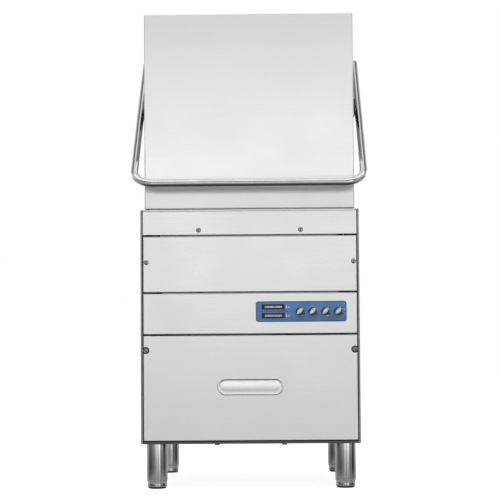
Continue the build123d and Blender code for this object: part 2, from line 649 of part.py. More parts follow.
def hood_guides():
    """Plastic slide track on each side of the hood, and the four shoes that run in the posts."""
    half_h = 23.0
    y0, y1 = -144.0, -43.0
    z = ROLLER[1]
    track = block(*GUIDE_X, y0, y1, z - half_h, z + half_h)
    track = fillet(track.edges().filter_by(Axis.X), 6)
    slot = block(GUIDE_X[0] + 3, GUIDE_X[1] + 1, y0 + 5, y1 - 5, z - half_h + 5, z + half_h - 5)
    parts = both_sides(track - slot)
    for z0, z1 in SHOE_ZS:
        shoe = block(POST_X[0] + 4.5, POST_X[1] - 4.5, POST_Y[0] + 4, POST_Y[1] - 4, z0, z1)
        neck = block(262, 278, HOOD_Y[1], POST_Y[0] + 5, z0, z1)
        parts += both_sides(shoe + neck)
    return parts


def hood_posts():
    """C-section posts that guide the hood, each with the stub on which a lever turns."""
    x0, x1 = POST_X
    y0, y1 = POST_Y
    post = block(x0, x1, y0, y1, DECK_Z, POST_TOP_Z)
    post = post - block(x0 + 2, x1 - 2, y0 + 2, y1 - 2, DECK_Z - 1, POST_TOP_Z + 1)
    post = post - block(257, 283, y0 - 1, y0 + 3, DECK_Z - 1, POST_TOP_Z + 1)
    post = post + rod((x1 - 1, *PIVOT), (LEVER_X[0] - GAP, *PIVOT), 14)
    post = post + rod((x1 - 1, *PIVOT), (LEVER_X[1] + GAP, *PIVOT), PIVOT_PIN_R)
    post = post + rod((LEVER_X[1] + GAP, *PIVOT), (LEVER_X[1] + 2, *PIVOT), 12)
    hook_y = PIVOT[0] + TAIL_LENGTH * math.cos(tail_angle())
    anchor = block(x1 - 12, x1 + 13, y1 - 2, hook_y + 10, SPRING_FOOT_Z - 4, SPRING_FOOT_Z)
    return both_sides(post + anchor)


def tail_angle():
    """Angle of the lever's tail above level at rest; the swing takes it as far below."""
    return math.atan2(PIVOT[1] - ROLLER[1], PIVOT[0] - ROLLER[0])


def tail_hook():
    """Place of the spring hook on the lever's tail, in (Y, Z)."""
    angle = tail_angle()
    return (PIVOT[0] + TAIL_LENGTH * math.cos(angle), PIVOT[1] + TAIL_LENGTH * math.sin(angle))


def splash_back():
    """Fixed sheet between the posts."""
    return [block(-POST_X[0] + 1, POST_X[0] - 1, 292, 292 + SHEET, DECK_Z, POST_TOP_Z)]


def rear_cover():
    """Cover behind the posts, with side wings and a closed top."""
    cover = block(-HALF_W, HALF_W, 288, REAR_Y, DECK_Z + 2, TOP_Z)
    cover = cover - block(-HALF_W + SHEET, HALF_W - SHEET, 280, REAR_Y - SHEET, 700, TOP_Z - SHEET)
    cover = cover - block(-400, 400, 280, 325, 700, TOP_Z - SHEET)
    return [cover]


def counterbalance_springs():
    """Extension springs between the levers' tails and the posts, as closed coils."""
    y, top = tail_hook()
    coil = rod((SPRING_X, y, SPRING_FOOT_Z + 22), (SPRING_X, y, top - 26), SPRING_R)
    coil = coil - rod((SPRING_X, y, SPRING_FOOT_Z + 21), (SPRING_X, y, top - 25), SPRING_R - 2.5)
    lower = rod((SPRING_X, y, SPRING_FOOT_Z), (SPRING_X, y, SPRING_FOOT_Z + 26), 2)
    lower = lower + rod((SPRING_X, y, SPRING_FOOT_Z + 22), (SPRING_X, y, SPRING_FOOT_Z + 25), SPRING_R)
    upper = rod((SPRING_X, y, top - 29), (SPRING_X, y, top - 3.4), 2)
    upper = upper + rod((SPRING_X, y, top - 29), (SPRING_X, y, top - 26), SPRING_R)
    return both_sides(coil + lower + upper)


def handle_path():
    """Centre line of the bent tube, from the right end over the bar to the left end."""
    return FilletPolyline(
        (HANDLE_X, *TUBE_END), (HANDLE_X, *BAR), (-HANDLE_X, *BAR), (-HANDLE_X, *TUBE_END), radius=BEND_R
    ).wires()[0]


def handle_solid():
    """The bent tube as a full bar with round ends."""
    path = handle_path()
    bar = sweep(Plane(origin=path @ 0, z_dir=path % 0) * Circle(TUBE_R), path=path)
    for end in (path @ 0, path @ 1):
        bar = bar + Pos(*end) * Sphere(TUBE_R)
    return bar


def handle_tube():
    """The U-shaped handle."""
    path = handle_path()
    bore = sweep(Plane(origin=path @ 0, z_dir=path % 0) * Circle(TUBE_R - TUBE_WALL), path=path)
    return [handle_solid() - bore]


def on_arm(distance):
    """A point of the handle's arm at a distance from its upper end, in (Y, Z)."""
    run = math.dist(BAR, TUBE_END)
    part = distance / run
    return (TUBE_END[0] + (BAR[0] - TUBE_END[0]) * part, TUBE_END[1] + (BAR[1] - TUBE_END[1]) * part)


def handle_levers():
    """Flat levers that carry the tube's ends, with bosses, the rollers' pins and the spring hooks."""
    x0, x1 = LEVER_X
    near, far = on_arm(22), on_arm(112)
    hook = tail_hook()
    outline = strap(far, 13, near, 15) + strap(near, 15, PIVOT, 22) + strap(PIVOT, 22, hook, 8)
    lever = extrude(Pos(x0, 0, 0) * (Plane.YZ * outline), x1 - x0)
    lever = lever - rod((x0 - 1, *PIVOT), (x1 + 1, *PIVOT), PIVOT_PIN_R + RUNNING)
    lever = lever + rod((SPRING_X - 7, *hook), (x0 + 1, *hook), 3)
    for place in (near, far):
        lever = lever + rod((x1 - 1, *place), (HANDLE_X - 5, *place), 8)
    pin = rod((GUIDE_X[0] + 3.5, *ROLLER), (HANDLE_X - 5, *ROLLER), 5)
    return [part - handle_solid() for part in both_sides(lever) + both_sides(pin)]


def guide_rollers():
    """Plastic rollers on the handle's pins, inside the hood's tracks."""
    roller = rod((GUIDE_X[0] + 3.5, *ROLLER), (GUIDE_X[1] - 0.5, *ROLLER), ROLLER_R)
    roller = roller - rod((GUIDE_X[0] + 3, *ROLLER), (GUIDE_X[1], *ROLLER), 5)
    return both_sides(roller)


os.makedirs("parts", exist_ok=True)

save("base_frame", *base_frame())
right_side_panel = side_panel()
save("side_panel_right", right_side_panel)
save("side_panel_left", mirror(right_side_panel, Plane.YZ))
save("back_panel", *back_panel())
save("top_fascia", *top_fascia())
save("middle_panel", *middle_panel())
save("control_panel", *control_panel())
save("lower_panel", *lower_panel())
save("control_plate", *control_plate())
save("thermometers", *thermometers())
save("emblem", *emblem())
save("panel_screws", *panel_screws())
save("rotary_switches", *rotary_switches())
for index, knob_x in enumerate(knob_xs(), start=1):
    save(f"knob_{index}", *knob(knob_x))
save("panel_lock_left", *panel_lock(-LOCK_X))
save("panel_lock_right", *panel_lock(LOCK_X))
save("leg_sleeves", *leg_sleeves())
for index, (foot_x, foot_y) in enumerate([(x, y) for y in LEG_YS for x in (-LEG_X, LEG_X)], start=1):
    save(f"foot_{index}", *foot(foot_x, foot_y))
save("wash_tank", *wash_tank())
save("deck_rim", *deck_rim())
save("tank_filters", *tank_filters())
save("overflow_pipe", *overflow_pipe())
save("rack_rails", *rack_rails())
save("wash_arm_lower", *spray_arm(796, 811, 34, WASH_ARM_R, 20, 1))
save("rinse_arm_lower", *spray_arm(815, 824, 20, RINSE_ARM_R, -55, 1))
save("wash_arm_upper", *spray_arm(1278, 1293, 34, WASH_ARM_R, -30, -1))
save("rinse_arm_upper", *spray_arm(1265, 1274, 20, RINSE_ARM_R, 40, -1))
save("arm_spindles", *arm_spindles())
save("riser_pipe", *riser_pipe())
save("pump_volute", *pump_volute())
save("pump_impeller", *pump_impeller())
save("pump_motor", *pump_motor())
save("water_pipes", *water_pipes())
save("boiler", *boiler())
save("heating_elements", *heating_elements())
save("drain_pump", *drain_pump())
save("water_inlet_valve", *water_inlet_valve())
save("rear_outlets", *rear_outlets())
save("dosing_pumps", *dosing_pumps())
save("electrical_box", *electrical_box())
save("hood_front", *hood_front())
right_hood_side = hood_side()
save("hood_right", right_hood_side)
save("hood_left", mirror(right_hood_side, Plane.YZ))
save("hood_top", *hood_top())
save("hood_back", *hood_back())
save("hood_guides", *hood_guides())
save("hood_posts", *hood_posts())
save("splash_back", *splash_back())
save("rear_cover", *rear_cover())
save("counterbalance_springs", *counterbalance_springs())
save("handle_tube", *handle_tube())
save("handle_levers", *handle_levers())
save("guide_rollers", *guide_rollers())
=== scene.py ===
"""Looks of the hood-type dishwasher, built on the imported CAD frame. Metres, +Z up, front towards -Y."""
from math import copysign, cos, pi, radians, sin, tan

import bmesh
import bpy
from mathutils import Euler, Matrix, Quaternion, Vector


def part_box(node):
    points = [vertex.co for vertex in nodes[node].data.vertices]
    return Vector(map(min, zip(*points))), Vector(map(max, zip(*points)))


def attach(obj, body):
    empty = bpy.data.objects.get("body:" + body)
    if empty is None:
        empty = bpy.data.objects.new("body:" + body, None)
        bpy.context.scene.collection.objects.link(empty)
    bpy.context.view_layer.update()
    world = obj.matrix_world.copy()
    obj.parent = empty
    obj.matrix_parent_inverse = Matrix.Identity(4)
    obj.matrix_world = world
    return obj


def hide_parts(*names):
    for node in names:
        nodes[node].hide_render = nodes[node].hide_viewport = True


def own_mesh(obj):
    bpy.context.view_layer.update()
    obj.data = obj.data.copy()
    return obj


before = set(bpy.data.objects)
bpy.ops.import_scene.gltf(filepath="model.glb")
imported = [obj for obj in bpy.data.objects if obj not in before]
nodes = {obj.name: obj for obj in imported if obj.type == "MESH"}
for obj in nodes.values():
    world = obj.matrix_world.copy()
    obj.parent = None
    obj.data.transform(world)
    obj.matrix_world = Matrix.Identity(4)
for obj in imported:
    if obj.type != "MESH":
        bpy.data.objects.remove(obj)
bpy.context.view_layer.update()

# Sizes repeated from the CAD model, in metres
KNOB_XS = [0.1436 + 0.0371 * i for i in range(4)]
KNOB_TILT = radians(48)
GAUGE_X = 0.067
GAUGE_ZS = (0.4992, 0.5247)
PLATE_R = 0.008
SCREW_TOP_X = 0.148
SCREW_RISE = 0.093
LOCK_X = 0.3024
TUBE_R = 0.011
BEND_R = 0.058
PIVOT = (0.310, 1.341)
SPRING_X = 0.298
SPRING_COIL_R = 0.0064
SPRING_WIRE_R = 0.0015
SPRING_PITCH = 0.0042
SPRING_STEPS = 16
LEG_R = 0.030
FOOT_R = 0.0279
NOTCH = (-0.178, -0.181)
SUCTION = (-0.180, 0.060)
BASKET_R = 0.0445
BASKET_H = 0.070
HOLE_PITCH = 0.010
HOLE_R = 0.0032
INLET_XZ = (-0.200, 0.230)
DRAIN_Z = 0.200
LOUVRES = 8
LOUVRE_Z0 = 0.380
LOUVRE_PITCH = 0.014
LOUVRE_HALF = 0.072
CORNER_STEPS = 8
HEM_H = 0.0088
LENS_STEPS = 64
RIB_STEPS = 96

# Screw heads: a dome with a cross recess, whose floor is filled with a black bar each way as painted shade
# in the recess
SCREW_R = 0.0063
DOME_FOOT = 0.0004
DOME_RISE = 0.0021
DOME_STEPS = 9
CROSS_TURNS = (0.35, 0.35 + pi / 2)
CROSS_CUT = (0.0070, 0.0019, 0.004)
CROSS_FLOOR = 0.0009
CROSS_SHADE = (0.0068, 0.0017, 0.0005)
SHADE_FLOOR = 0.0008
REAR_SCREW_SCALE = 0.75
SCREWS_IN_ROW = 4

# Profiles of turned parts, as (radius, height)
WASHER = [(0.0060, 0.0), (0.0074, 0.0), (0.0072, 0.0005), (0.0060, 0.0007)]
LOCK_HEAD = [
    (0.0080, -0.0002), (0.0085, 0.0006), (0.0083, 0.0019), (0.0074, 0.0028), (0.0066, 0.0027),
    (0.0058, 0.0013), (0.0046, 0.0014), (0.0028, 0.0025), (0.0002, 0.0028),
]
LOCK_SEAT = [(0.0076, 0.0), (0.0105, 0.0), (0.0104, 0.0008), (0.0090, 0.0012), (0.0076, 0.0008)]
LOCK_SHAFT = [(0.0048, 0.0), (0.0048, -0.0150), (0.0030, -0.0170)]
PIVOT_CAP = [(0.0121, -0.0012), (0.0124, 0.0006), (0.0105, 0.0026), (0.0060, 0.0036), (0.0003, 0.0040)]
BARB = [
    (0.0158, 0.0), (0.0170, 0.0004), (0.0172, 0.0010), (0.0158, 0.0046), (0.0150, 0.0046), (0.0150, 0.0),
]
# Sections of raised plates, as (height, inset)
FILM_EDGE = [(-0.0002, 0), (0.0006, 0), (0.0009, 0.0001), (0.0010, 0.0004)]
BORDER_LINE = [(-0.0001, 0.0), (0.00010, 0.0002), (0.00010, 0.0014), (-0.0001, 0.0016)]
BEZEL = [
    (-0.0002, 0.0), (0.0015, 0.0001), (0.0019, 0.0005), (0.0019, 0.0021), (0.0015, 0.0025), (0.0004, 0.0028),
]
WINDOW_LIP = [(0.0004, 0), (0.0008, 0.0001), (0.0008, 0.0008), (0.0004, 0.0009)]
GRIP = [
    (0.0030, 0.0), (0.0092, 0.0002), (0.0112, 0.0006), (0.0122, 0.0013), (0.0127, 0.0024), (0.0129, 0.0040),
]
BADGE = [
    (-0.0002, 0.0), (0.0005, 0.0002), (0.0014, 0.0009), (0.0019, 0.0018), (0.0020, 0.0028),
    (0.0019, 0.0038), (0.0014, 0.0047), (0.0007, 0.0054), (0.0004, 0.0062), (0.0005, 0.0100),
    (0.0009, 0.0140), (0.0012, 0.0180), (0.0013, 0.0220),
]
TRAY_WALL = [
    (0.0, 0.0), (0.0092, 0.0), (0.0098, 0.0006), (0.0092, 0.0012), (0.0012, 0.0012), (0.0012, 0.006),
    (0.0, 0.006), (0.0, 0.0),
]
# Rings of a selector's skirt, as (height, radius, depth of the ribs)
SKIRT = [
    (0.0, 0.0112, 0.0), (0.0006, 0.0114, 0.0003), (0.0026, 0.0112, 0.0003), (0.0036, 0.0104, 0.0),
    (0.0038, 0.0090, 0.0),
]
# Printed marks: their thickness, and how softly they end
INK = 0.00012
THICK_INK = 0.00014
SCALE_INK = 0.00005
INK_SOFT = 0.00005
# Thermometers: how far they stand out, their ticks, and the pairs of blank blocks
GAUGE_OUT = 0.0008
GAUGE_TICKS = 23
GAUGE_TICK_PITCH = 0.0021
GAUGE_GROUPS = 5
GAUGE_GROUP_PITCH = 0.0105
# Blocks, as (length, width, depth)
LOCK_SLOT = (0.0104, 0.0030, 0.004)
LOCK_CAM = (0.024, 0.008, 0.0025)
GRIP_GROOVE = (0.0090, 0.0010, 0.0030)
# Rear fittings, the handle's plugs and the springs' hooks
THREAD_R = 0.0128
THREAD_TURNS = 7
THREAD_STEPS = 24
THREAD_PITCH = 0.0018
BARBS = 3
BARB_PITCH = 0.0052
LOUVRE_OUT = 0.0070
LOUVRE_RISE = 0.0095
PLUG_RISE = 0.55
HOOK_R = 0.0060
FOOT_HOOK_R = 0.0036

# ---------------- camera and light

FRONT_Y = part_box("lower_panel")[0].y
CAMERA_DISTANCE = 4.386
CAMERA_X = 0.0578
CAMERA_Z = 0.4165
LENS = 109.1
SHIFT_Y = 0.048
PITCH = 2.661
YAW = 0.747
ROLL = -0.40


# Studio brightness, by the sine of the elevation brought from -1...1 to 0...1
SKY = [
    (0.0, 0.05), (0.12, 0.10), (0.20, 0.32), (0.32, 0.48), (0.46, 0.67), (0.50, 1.00), (0.55, 2.00),
    (0.575, 1.80), (0.60, 1.00), (0.65, 0.60), (0.78, 0.74), (0.87, 1.5), (0.97, 1.5), (1.0, 0.9),
]
# Tall cards and lamps near the horizon, by degrees to the right of the front
CARDS = [
    (-180, 0.90), (-125, 0.80), (-105, 0.45), (-92, 0.16), (-68, 0.20), (-45, 0.32), (-22, 0.52),
    (-9, 1.12), (6, 0.97), (15, 0.85), (21, 1.45), (33, 1.7), (41, 0.42), (74, 0.34), (84, 0.04),
    (100, 0.04), (110, 0.45), (130, 0.80), (180, 0.90),
]
CARD_BAND = [(0.0, 0.0), (0.42, 0.0), (0.45, 1.0), (0.56, 1.0), (0.60, 0.0)]
# A dark screen above the camera and one behind the sides: how much each takes away, its heights,
# and its places from the front (0) to the rear (1)
SCREENS = [
    (0.92, [(0.0, 0.0), (0.59, 0.0), (0.635, 1.0), (0.75, 1.0), (0.83, 0.0)],
     [(0.0, 1.0), (0.18, 1.0), (0.30, 0.0)]),
    (0.86, [(0.0, 0.0), (0.77, 0.0), (0.84, 1.0), (0.95, 1.0), (0.985, 0.0)],
     [(0.0, 0.0), (0.52, 0.0), (0.60, 1.0)]),
]
SKY_STRENGTH = 1.0
# Lamps that the steel doesn't mirror: name, place, target, size, power
LAMPS = [
    ("top", (0.0, -0.4, 6.0), (0, 0, 0), (9.0, 8.0), 420),
    ("back", (0.0, 3.6, 2.4), (0, 0, 0.8), (3.0, 2.0), 40),
]
# The floor as the lens sees it, and as it lights the object: darker near it than far from it
FLOOR_SEEN = 0.15
FLOOR_GLOW = 0.93
NEAR_FLOOR = 1.3
FAR_FLOOR = 3.6
NEAR_GREY = 0.30
FAR_GREY = 0.60


def place_in_scene(item):
    """Links an object to the scene."""
    bpy.context.scene.collection.objects.link(item)


def make_camera():
    """The photograph's viewpoint: low in front, tilted slightly up."""
    data = bpy.data.cameras.new("camera")
    data.lens = LENS
    data.sensor_width = 36
    data.shift_y = SHIFT_Y
    camera = bpy.data.objects.new("camera", data)
    place_in_scene(camera)
    camera.location = (CAMERA_X, FRONT_Y - CAMERA_DISTANCE, CAMERA_Z)
    yaw = Euler((0, 0, radians(YAW))).to_matrix()
    pitch = Euler((radians(90 + PITCH), 0, 0)).to_matrix()
    roll = Euler((0, 0, radians(ROLL))).to_matrix()
    camera.rotation_mode = "QUATERNION"
    camera.rotation_quaternion = (yaw @ pitch @ roll).to_quaternion()
    bpy.context.scene.camera = camera


def area_light(name, place, target, size, power):
    """A soft rectangular lamp that faces a target; the steel doesn't mirror it."""
    data = bpy.data.lights.new(name, "AREA")
    data.shape = "RECTANGLE"
    data.size, data.size_y = size
    data.energy = power
    lamp = bpy.data.objects.new(name, data)
    place_in_scene(lamp)
    lamp.visible_glossy = False
    lamp.location = place
    lamp.rotation_mode = "QUATERNION"
    lamp.rotation_quaternion = (Vector(target) - Vector(place)).to_track_quat("-Z", "Y")


def add_node(tree, kind, **inputs):
    """A shader node; each input given gets a link or a fixed value."""
    node = tree.nodes.new("ShaderNode" + kind)
    for name, value in inputs.items():
        feed(tree, node.inputs[name], value)
    return node


def feed(tree, socket, value):
    """A link or a fixed value to a socket."""
    if isinstance(value, bpy.types.NodeSocket):
        tree.links.new(value, socket)
    else:
        socket.default_value = value


def split_axes(tree, vector):
    """The X, Y and Z outputs of a vector."""
    node = tree.nodes.new("ShaderNodeSeparateXYZ")
    tree.links.new(vector, node.inputs[0])
    return node.outputs


def ramp(tree, stops, source):
    """A colour ramp of grey stops, fed by a socket."""
    node = add_node(tree, "ValToRGB", Fac=source)
    elements = node.color_ramp.elements
    while len(elements) < len(stops):
        elements.new(0.5)
    for element, (place, value) in zip(elements, stops):
        element.position = place
        element.color = grey_of(value)
    return node.outputs["Color"]


def math_node(tree, operation, *values):
    """A math node; the values are sockets or numbers."""
    node = tree.nodes.new("ShaderNodeMath")
    node.operation = operation
    for socket, value in zip(node.inputs, values):
        feed(tree, socket, value)
    return node.outputs[0]


def make_world():
    """A studio of cards, lamps and dark screens for the steel to mirror; the lens sees plain white."""
    world = bpy.data.worlds.new("studio")
    bpy.context.scene.world = world
    world.use_nodes = True
    tree = world.node_tree
    tree.nodes.clear()
    out = tree.nodes.new("ShaderNodeOutputWorld")
    axes = split_axes(tree, add_node(tree, "TexCoord").outputs["Generated"])
    height = math_node(tree, "MULTIPLY_ADD", axes["Z"], 0.5, 0.5)
    depth = math_node(tree, "MULTIPLY_ADD", axes["Y"], 0.5, 0.5)
    turn = math_node(tree, "ARCTAN2", axes["X"], math_node(tree, "MULTIPLY", axes["Y"], -1.0))
    turn = math_node(tree, "MULTIPLY_ADD", turn, 0.5 / pi, 0.5)
    cards = ramp(tree, [(0.5 + angle / 360, value) for angle, value in CARDS], turn)
    band = ramp(tree, CARD_BAND, height)
    lit = mix_colors(tree, "MULTIPLY", band, ramp(tree, SKY, height), cards)
    for strength, heights, places in SCREENS:
        at_height = ramp(tree, heights, height)
        screen = mix_colors(tree, "MULTIPLY", 1.0, at_height, ramp(tree, places, depth))
        dimmed = mix_colors(tree, "MULTIPLY", 1.0, lit, grey_of(1 - strength))
        lit = mix_colors(tree, "MIX", screen, lit, dimmed)
    studio = add_node(tree, "Background", Strength=SKY_STRENGTH, Color=lit)
    plain = add_node(tree, "Background", Color=grey_of(1))
    tree.links.new(seen_or_not(tree, plain, studio), out.inputs["Surface"])


def grey_of(value):
    """An opaque grey."""
    return (value, value, value, 1)


def mix_colors(tree, blend, factor, a, b):
    """A colour mix; each input is a socket or a fixed value."""
    node = tree.nodes.new("ShaderNodeMix")
    node.data_type = "RGBA"
    node.blend_type = blend
    for name, value in (("Factor", factor), ("A", a), ("B", b)):
        feed(tree, node.inputs[name], value)
    return node.outputs["Result"]


def seen_or_not(tree, seen, unseen):
    """One shader where the lens sees the stage itself, another where the object is lit by it."""
    by_lens = add_node(tree, "LightPath").outputs["Is Camera Ray"]
    choose = add_node(tree, "MixShader", Fac=by_lens)
    tree.links.new(unseen.outputs[0], choose.inputs[1])
    tree.links.new(seen.outputs[0], choose.inputs[2])
    return choose.outputs[0]


# ---------------- materials


class Shader:
    """A new material with its Principled shader and helpers to feed it."""

    def __init__(self, name, color, rough, metal=0.0, **sockets):
        self.material = bpy.data.materials.new(name)
        self.material.use_nodes = True
        self.tree = self.material.node_tree
        self.principled = self.tree.nodes["Principled BSDF"]
        self.set("Base Color", (*color, 1))
        self.set("Roughness", rough)
        self.set("Metallic", metal)
        for socket, value in sockets.items():
            self.set(socket.replace("_", " "), value)
        self.coords = add_node(self.tree, "TexCoord").outputs["Object"]

    def set(self, socket, value):
        """A fixed value on the shader's own socket."""
        self.principled.inputs[socket].default_value = value

    def link(self, source, socket):
        """A varying value to a socket of the shader."""
        self.tree.links.new(source, self.principled.inputs[socket])

    def noise(self, scale, detail=3.0, roughness=0.55, stretch=(1, 1, 1)):
        """Noise in object space, stretched by an axis scale."""
        mapping = add_node(self.tree, "Mapping", Vector=self.coords, Scale=stretch)
        values = {"Scale": scale, "Detail": detail, "Roughness": roughness}
        place = mapping.outputs["Vector"]
        return add_node(self.tree, "TexNoise", Vector=place, **values).outputs["Fac"]

    def span(self, source, low, high, from_low=0.3, from_high=0.7):
        """A noise value spread over a range."""
        ends = {"From Min": from_low, "From Max": from_high, "To Min": low, "To Max": high}
        return add_node(self.tree, "MapRange", Value=source, **ends).outputs["Result"]

    def tint(self, source, dark, light, from_low=0.3, from_high=0.7):
        """A colour between two, by a noise value."""
        fac = self.span(source, 0.0, 1.0, from_low, from_high)
        return mix_colors(self.tree, "MIX", fac, (*dark, 1), (*light, 1))

    def both(self, a, share_a, b, share_b):
        """The sum of two values, each with its share."""
        first = math_node(self.tree, "MULTIPLY", a, share_a)
        return math_node(self.tree, "ADD", first, math_node(self.tree, "MULTIPLY", b, share_b))

    def normal_y(self):
        """The Y part of the surface's own normal, which stays with the piece when it moves."""
        normal = add_node(self.tree, "TexCoord").outputs["Normal"]
        return split_axes(self.tree, normal)["Y"]

    def bump(self, source, strength, distance):
        """Surface relief from a noise value."""
        node = add_node(self.tree, "Bump", Strength=strength, Distance=distance, Height=source)
        self.link(node.outputs["Normal"], "Normal")


def grey(value, warm=0.0):
    """A steel grey, slightly warm or cool."""
    return (value * (1 + warm), value, value * (1 - warm))


def scaled(color, factor, lift=0.0):
    """A colour made darker or lighter, kept within 1."""
    return tuple(min(1, c * factor + lift) for c in color)


def with_cut_edge_shade(steel, color):
    """The faces of a side sheet that look to the front or the rear get a dark grey: cut edges, darkened as
    painted shade of the gaps beside them.
    """
    along = math_node(steel.tree, "ABSOLUTE", steel.normal_y())
    on_shaded_edge = math_node(steel.tree, "GREATER_THAN", along, EDGE_NORMAL)
    return mix_colors(steel.tree, "MIX", on_shaded_edge, color, (*grey(CUT_EDGE_SHADE_GREY), 1))


def with_hood_painted_shade(steel, color):
    """Painted shade set to the photo: a dark line at each outer edge of the hood's front, and a painted
    shadow of the handle bar on its lower strip.
    """
    axes = split_axes(steel.tree, steel.coords)
    aside = math_node(steel.tree, "ABSOLUTE", axes["X"])
    in_front = math_node(steel.tree, "LESS_THAN", steel.normal_y(), -FRONT_NORMAL)
    # The outer edges of the front are darkened: painted shade at the bent edges.
    near_edge = steel.span(aside, 0.0, EDGE_SHADE_DARK, HOOD_HALF - EDGE_SHADE_W, HOOD_HALF)
    edge_shade = math_node(steel.tree, "MULTIPLY", in_front, near_edge)
    color = mix_colors(steel.tree, "MIX", edge_shade, color, (0, 0, 0, 1))
    # Below the bar's height the sheet is darkened: a painted shadow of the handle bar.
    strip = steel.span(axes["Z"], BAR_SHADOW_DARK, 0.0, BAR_SHADOW_Z - BAR_SHADOW_FADE, BAR_SHADOW_Z)
    return mix_colors(steel.tree, "MIX", strip, color, (0, 0, 0, 1))


def brushed_steel(name, value, rough, grain, depth=0.022, cut_edge_shade=False, folded=False):
    """Sheet brushed along one axis: fine grain, wider streaks and faint clouds.

    A side sheet's cut edges can be darkened, as duller edges with painted shade of the gaps beside them, and
    the hood's sheet can get its painted shade (folded).
    """
    stretch = {"X": (0.005, 1, 1), "Y": (1, 0.005, 1), "Z": (1, 1, 0.005)}[grain]
    steel = Shader(name, grey(value), rough, 1.0)
    hairlines = steel.noise(1400, 2.0, 0.7, stretch)
    streaks = steel.noise(160, 3.0, 0.6, stretch)
    clouds = steel.noise(5.5, 2.0, 0.5)
    mixed = steel.both(streaks, 0.35, clouds, 0.65)
    dark, light = grey(value * 0.982, WARMTH), grey(min(1.0, value * 1.014), -WARMTH)
    color = steel.tint(mixed, dark, light, 0.36, 0.64)
    # Cut edges are darkened: painted shade of the gaps beside them.
    if cut_edge_shade:
        color = with_cut_edge_shade(steel, color)
    # The hood's sheet gets its painted shade: dark outer edges of the front and the handle bar's painted
    # shadow.
    if folded:
        color = with_hood_painted_shade(steel, color)
    steel.link(color, "Base Color")
    worn = steel.both(hairlines, 0.5, clouds, 0.5)
    steel.link(steel.span(worn, rough - 0.025, rough + 0.035, 0.35, 0.65), "Roughness")
    steel.bump(hairlines, depth, 0.00006)
    return steel.material


def polished_steel(name, value, rough=0.13):
    """Bright tube or turned part, with faint handling marks."""
    steel = Shader(name, grey(value), rough, 1.0)
    marks = steel.noise(42, 5.0, 0.65)
    fine = steel.noise(900, 2.0, 0.6)
    dark, light = grey(value * 0.93, 0.006), grey(min(1.0, value * 1.04), -0.004)
    steel.link(steel.tint(marks, dark, light, 0.35, 0.65), "Base Color")
    steel.link(steel.span(marks, rough - 0.03, rough + 0.07, 0.35, 0.7), "Roughness")
    steel.bump(fine, 0.05, 0.00004)
    return steel.material


def moulded(name, color, rough=0.45, grain=0.12):
    """Moulded plastic: pebbled, with slight wear in gloss and colour."""
    plastic = Shader(name, color, rough)
    pebbles = plastic.noise(1500, 2.0, 0.5)
    wear = plastic.noise(60, 4.0, 0.6)
    plastic.link(plastic.tint(wear, scaled(color, 0.82), scaled(color, 1.15, 0.004)), "Base Color")
    plastic.link(plastic.span(wear, rough - 0.08, rough + 0.10), "Roughness")
    plastic.bump(pebbles, grain, 0.0001)
    return plastic.material


def cast(name, color, rough=0.5, metal=0.6):
    """Painted or plain casting with an orange-peel skin."""
    skin = Shader(name, color, rough, metal)
    peel = skin.noise(420, 3.0, 0.6)
    stains = skin.noise(24, 4.0, 0.65)
    skin.link(skin.tint(stains, scaled(color, 0.8), scaled(color, 1.12)), "Base Color")
    skin.link(skin.span(stains, rough - 0.08, rough + 0.08), "Roughness")
    skin.bump(peel, 0.25, 0.0002)
    return skin.material


def printed_film(name, color):
    """Blue printed film with a finely textured surface."""
    film = Shader(name, color, 0.42, 0.0, Coat_Weight=0.15, Coat_Roughness=0.25)
    speckle = film.noise(700, 2.0, 0.7)
    fade = film.noise(14, 2.0, 0.5)
    mixed = film.both(speckle, 0.6, fade, 0.4)
    film.link(film.tint(mixed, scaled(color, 0.80), scaled(color, 1.20), 0.38, 0.62), "Base Color")
    film.link(film.span(speckle, 0.34, 0.5), "Roughness")
    film.bump(speckle, 0.18, 0.00008)
    return film.material


def drawn_tube(name, value, rough):
    """Bright upright tube with drawing marks along its length."""
    steel = Shader(name, grey(value), rough, 1.0)
    lines = steel.noise(330, 3.0, 0.7, (1, 1, 0.02))
    marks = steel.noise(30, 4.0, 0.6, (1, 1, 0.35))
    mixed = steel.both(lines, 0.6, marks, 0.4)
    dark, light = grey(value * 0.72, 0.006), grey(min(1.0, value * 1.18), -0.004)
    steel.link(steel.tint(mixed, dark, light, 0.38, 0.62), "Base Color")
    steel.link(steel.span(mixed, rough - 0.04, rough + 0.07, 0.38, 0.62), "Roughness")
    steel.bump(lines, 0.07, 0.00008)
    return steel.material


# How far the steel's light and dark streaks lean to cool and warm
WARMTH = 0.004
# The grey of the cut edges, dark as painted shade of the gaps beside them, and from which slope of the
# normal a face counts as one
CUT_EDGE_SHADE_GREY = 0.30
EDGE_NORMAL = 0.7
# The hood's painted shade, a dark line at each outer edge of its front and a painted shadow of the handle
# bar on its lower strip: how dark, from where, and over what width
HOOD_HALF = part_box("hood_front")[1].x
FRONT_NORMAL = 0.9
EDGE_SHADE_W = 0.0036
EDGE_SHADE_DARK = 0.85
BAR_SHADOW_Z = 0.908
BAR_SHADOW_FADE = 0.02
BAR_SHADOW_DARK = 0.21
FRONT_STEEL = brushed_steel("front_steel", 0.70, 0.29, "X", depth=0.012)
# The hood's steel carries painted shade: dark lines at its front's outer edges and the handle bar's painted
# shadow on its lower strip.
HOOD_STEEL = brushed_steel("hood_steel", 0.88, 0.31, "X", folded=True)
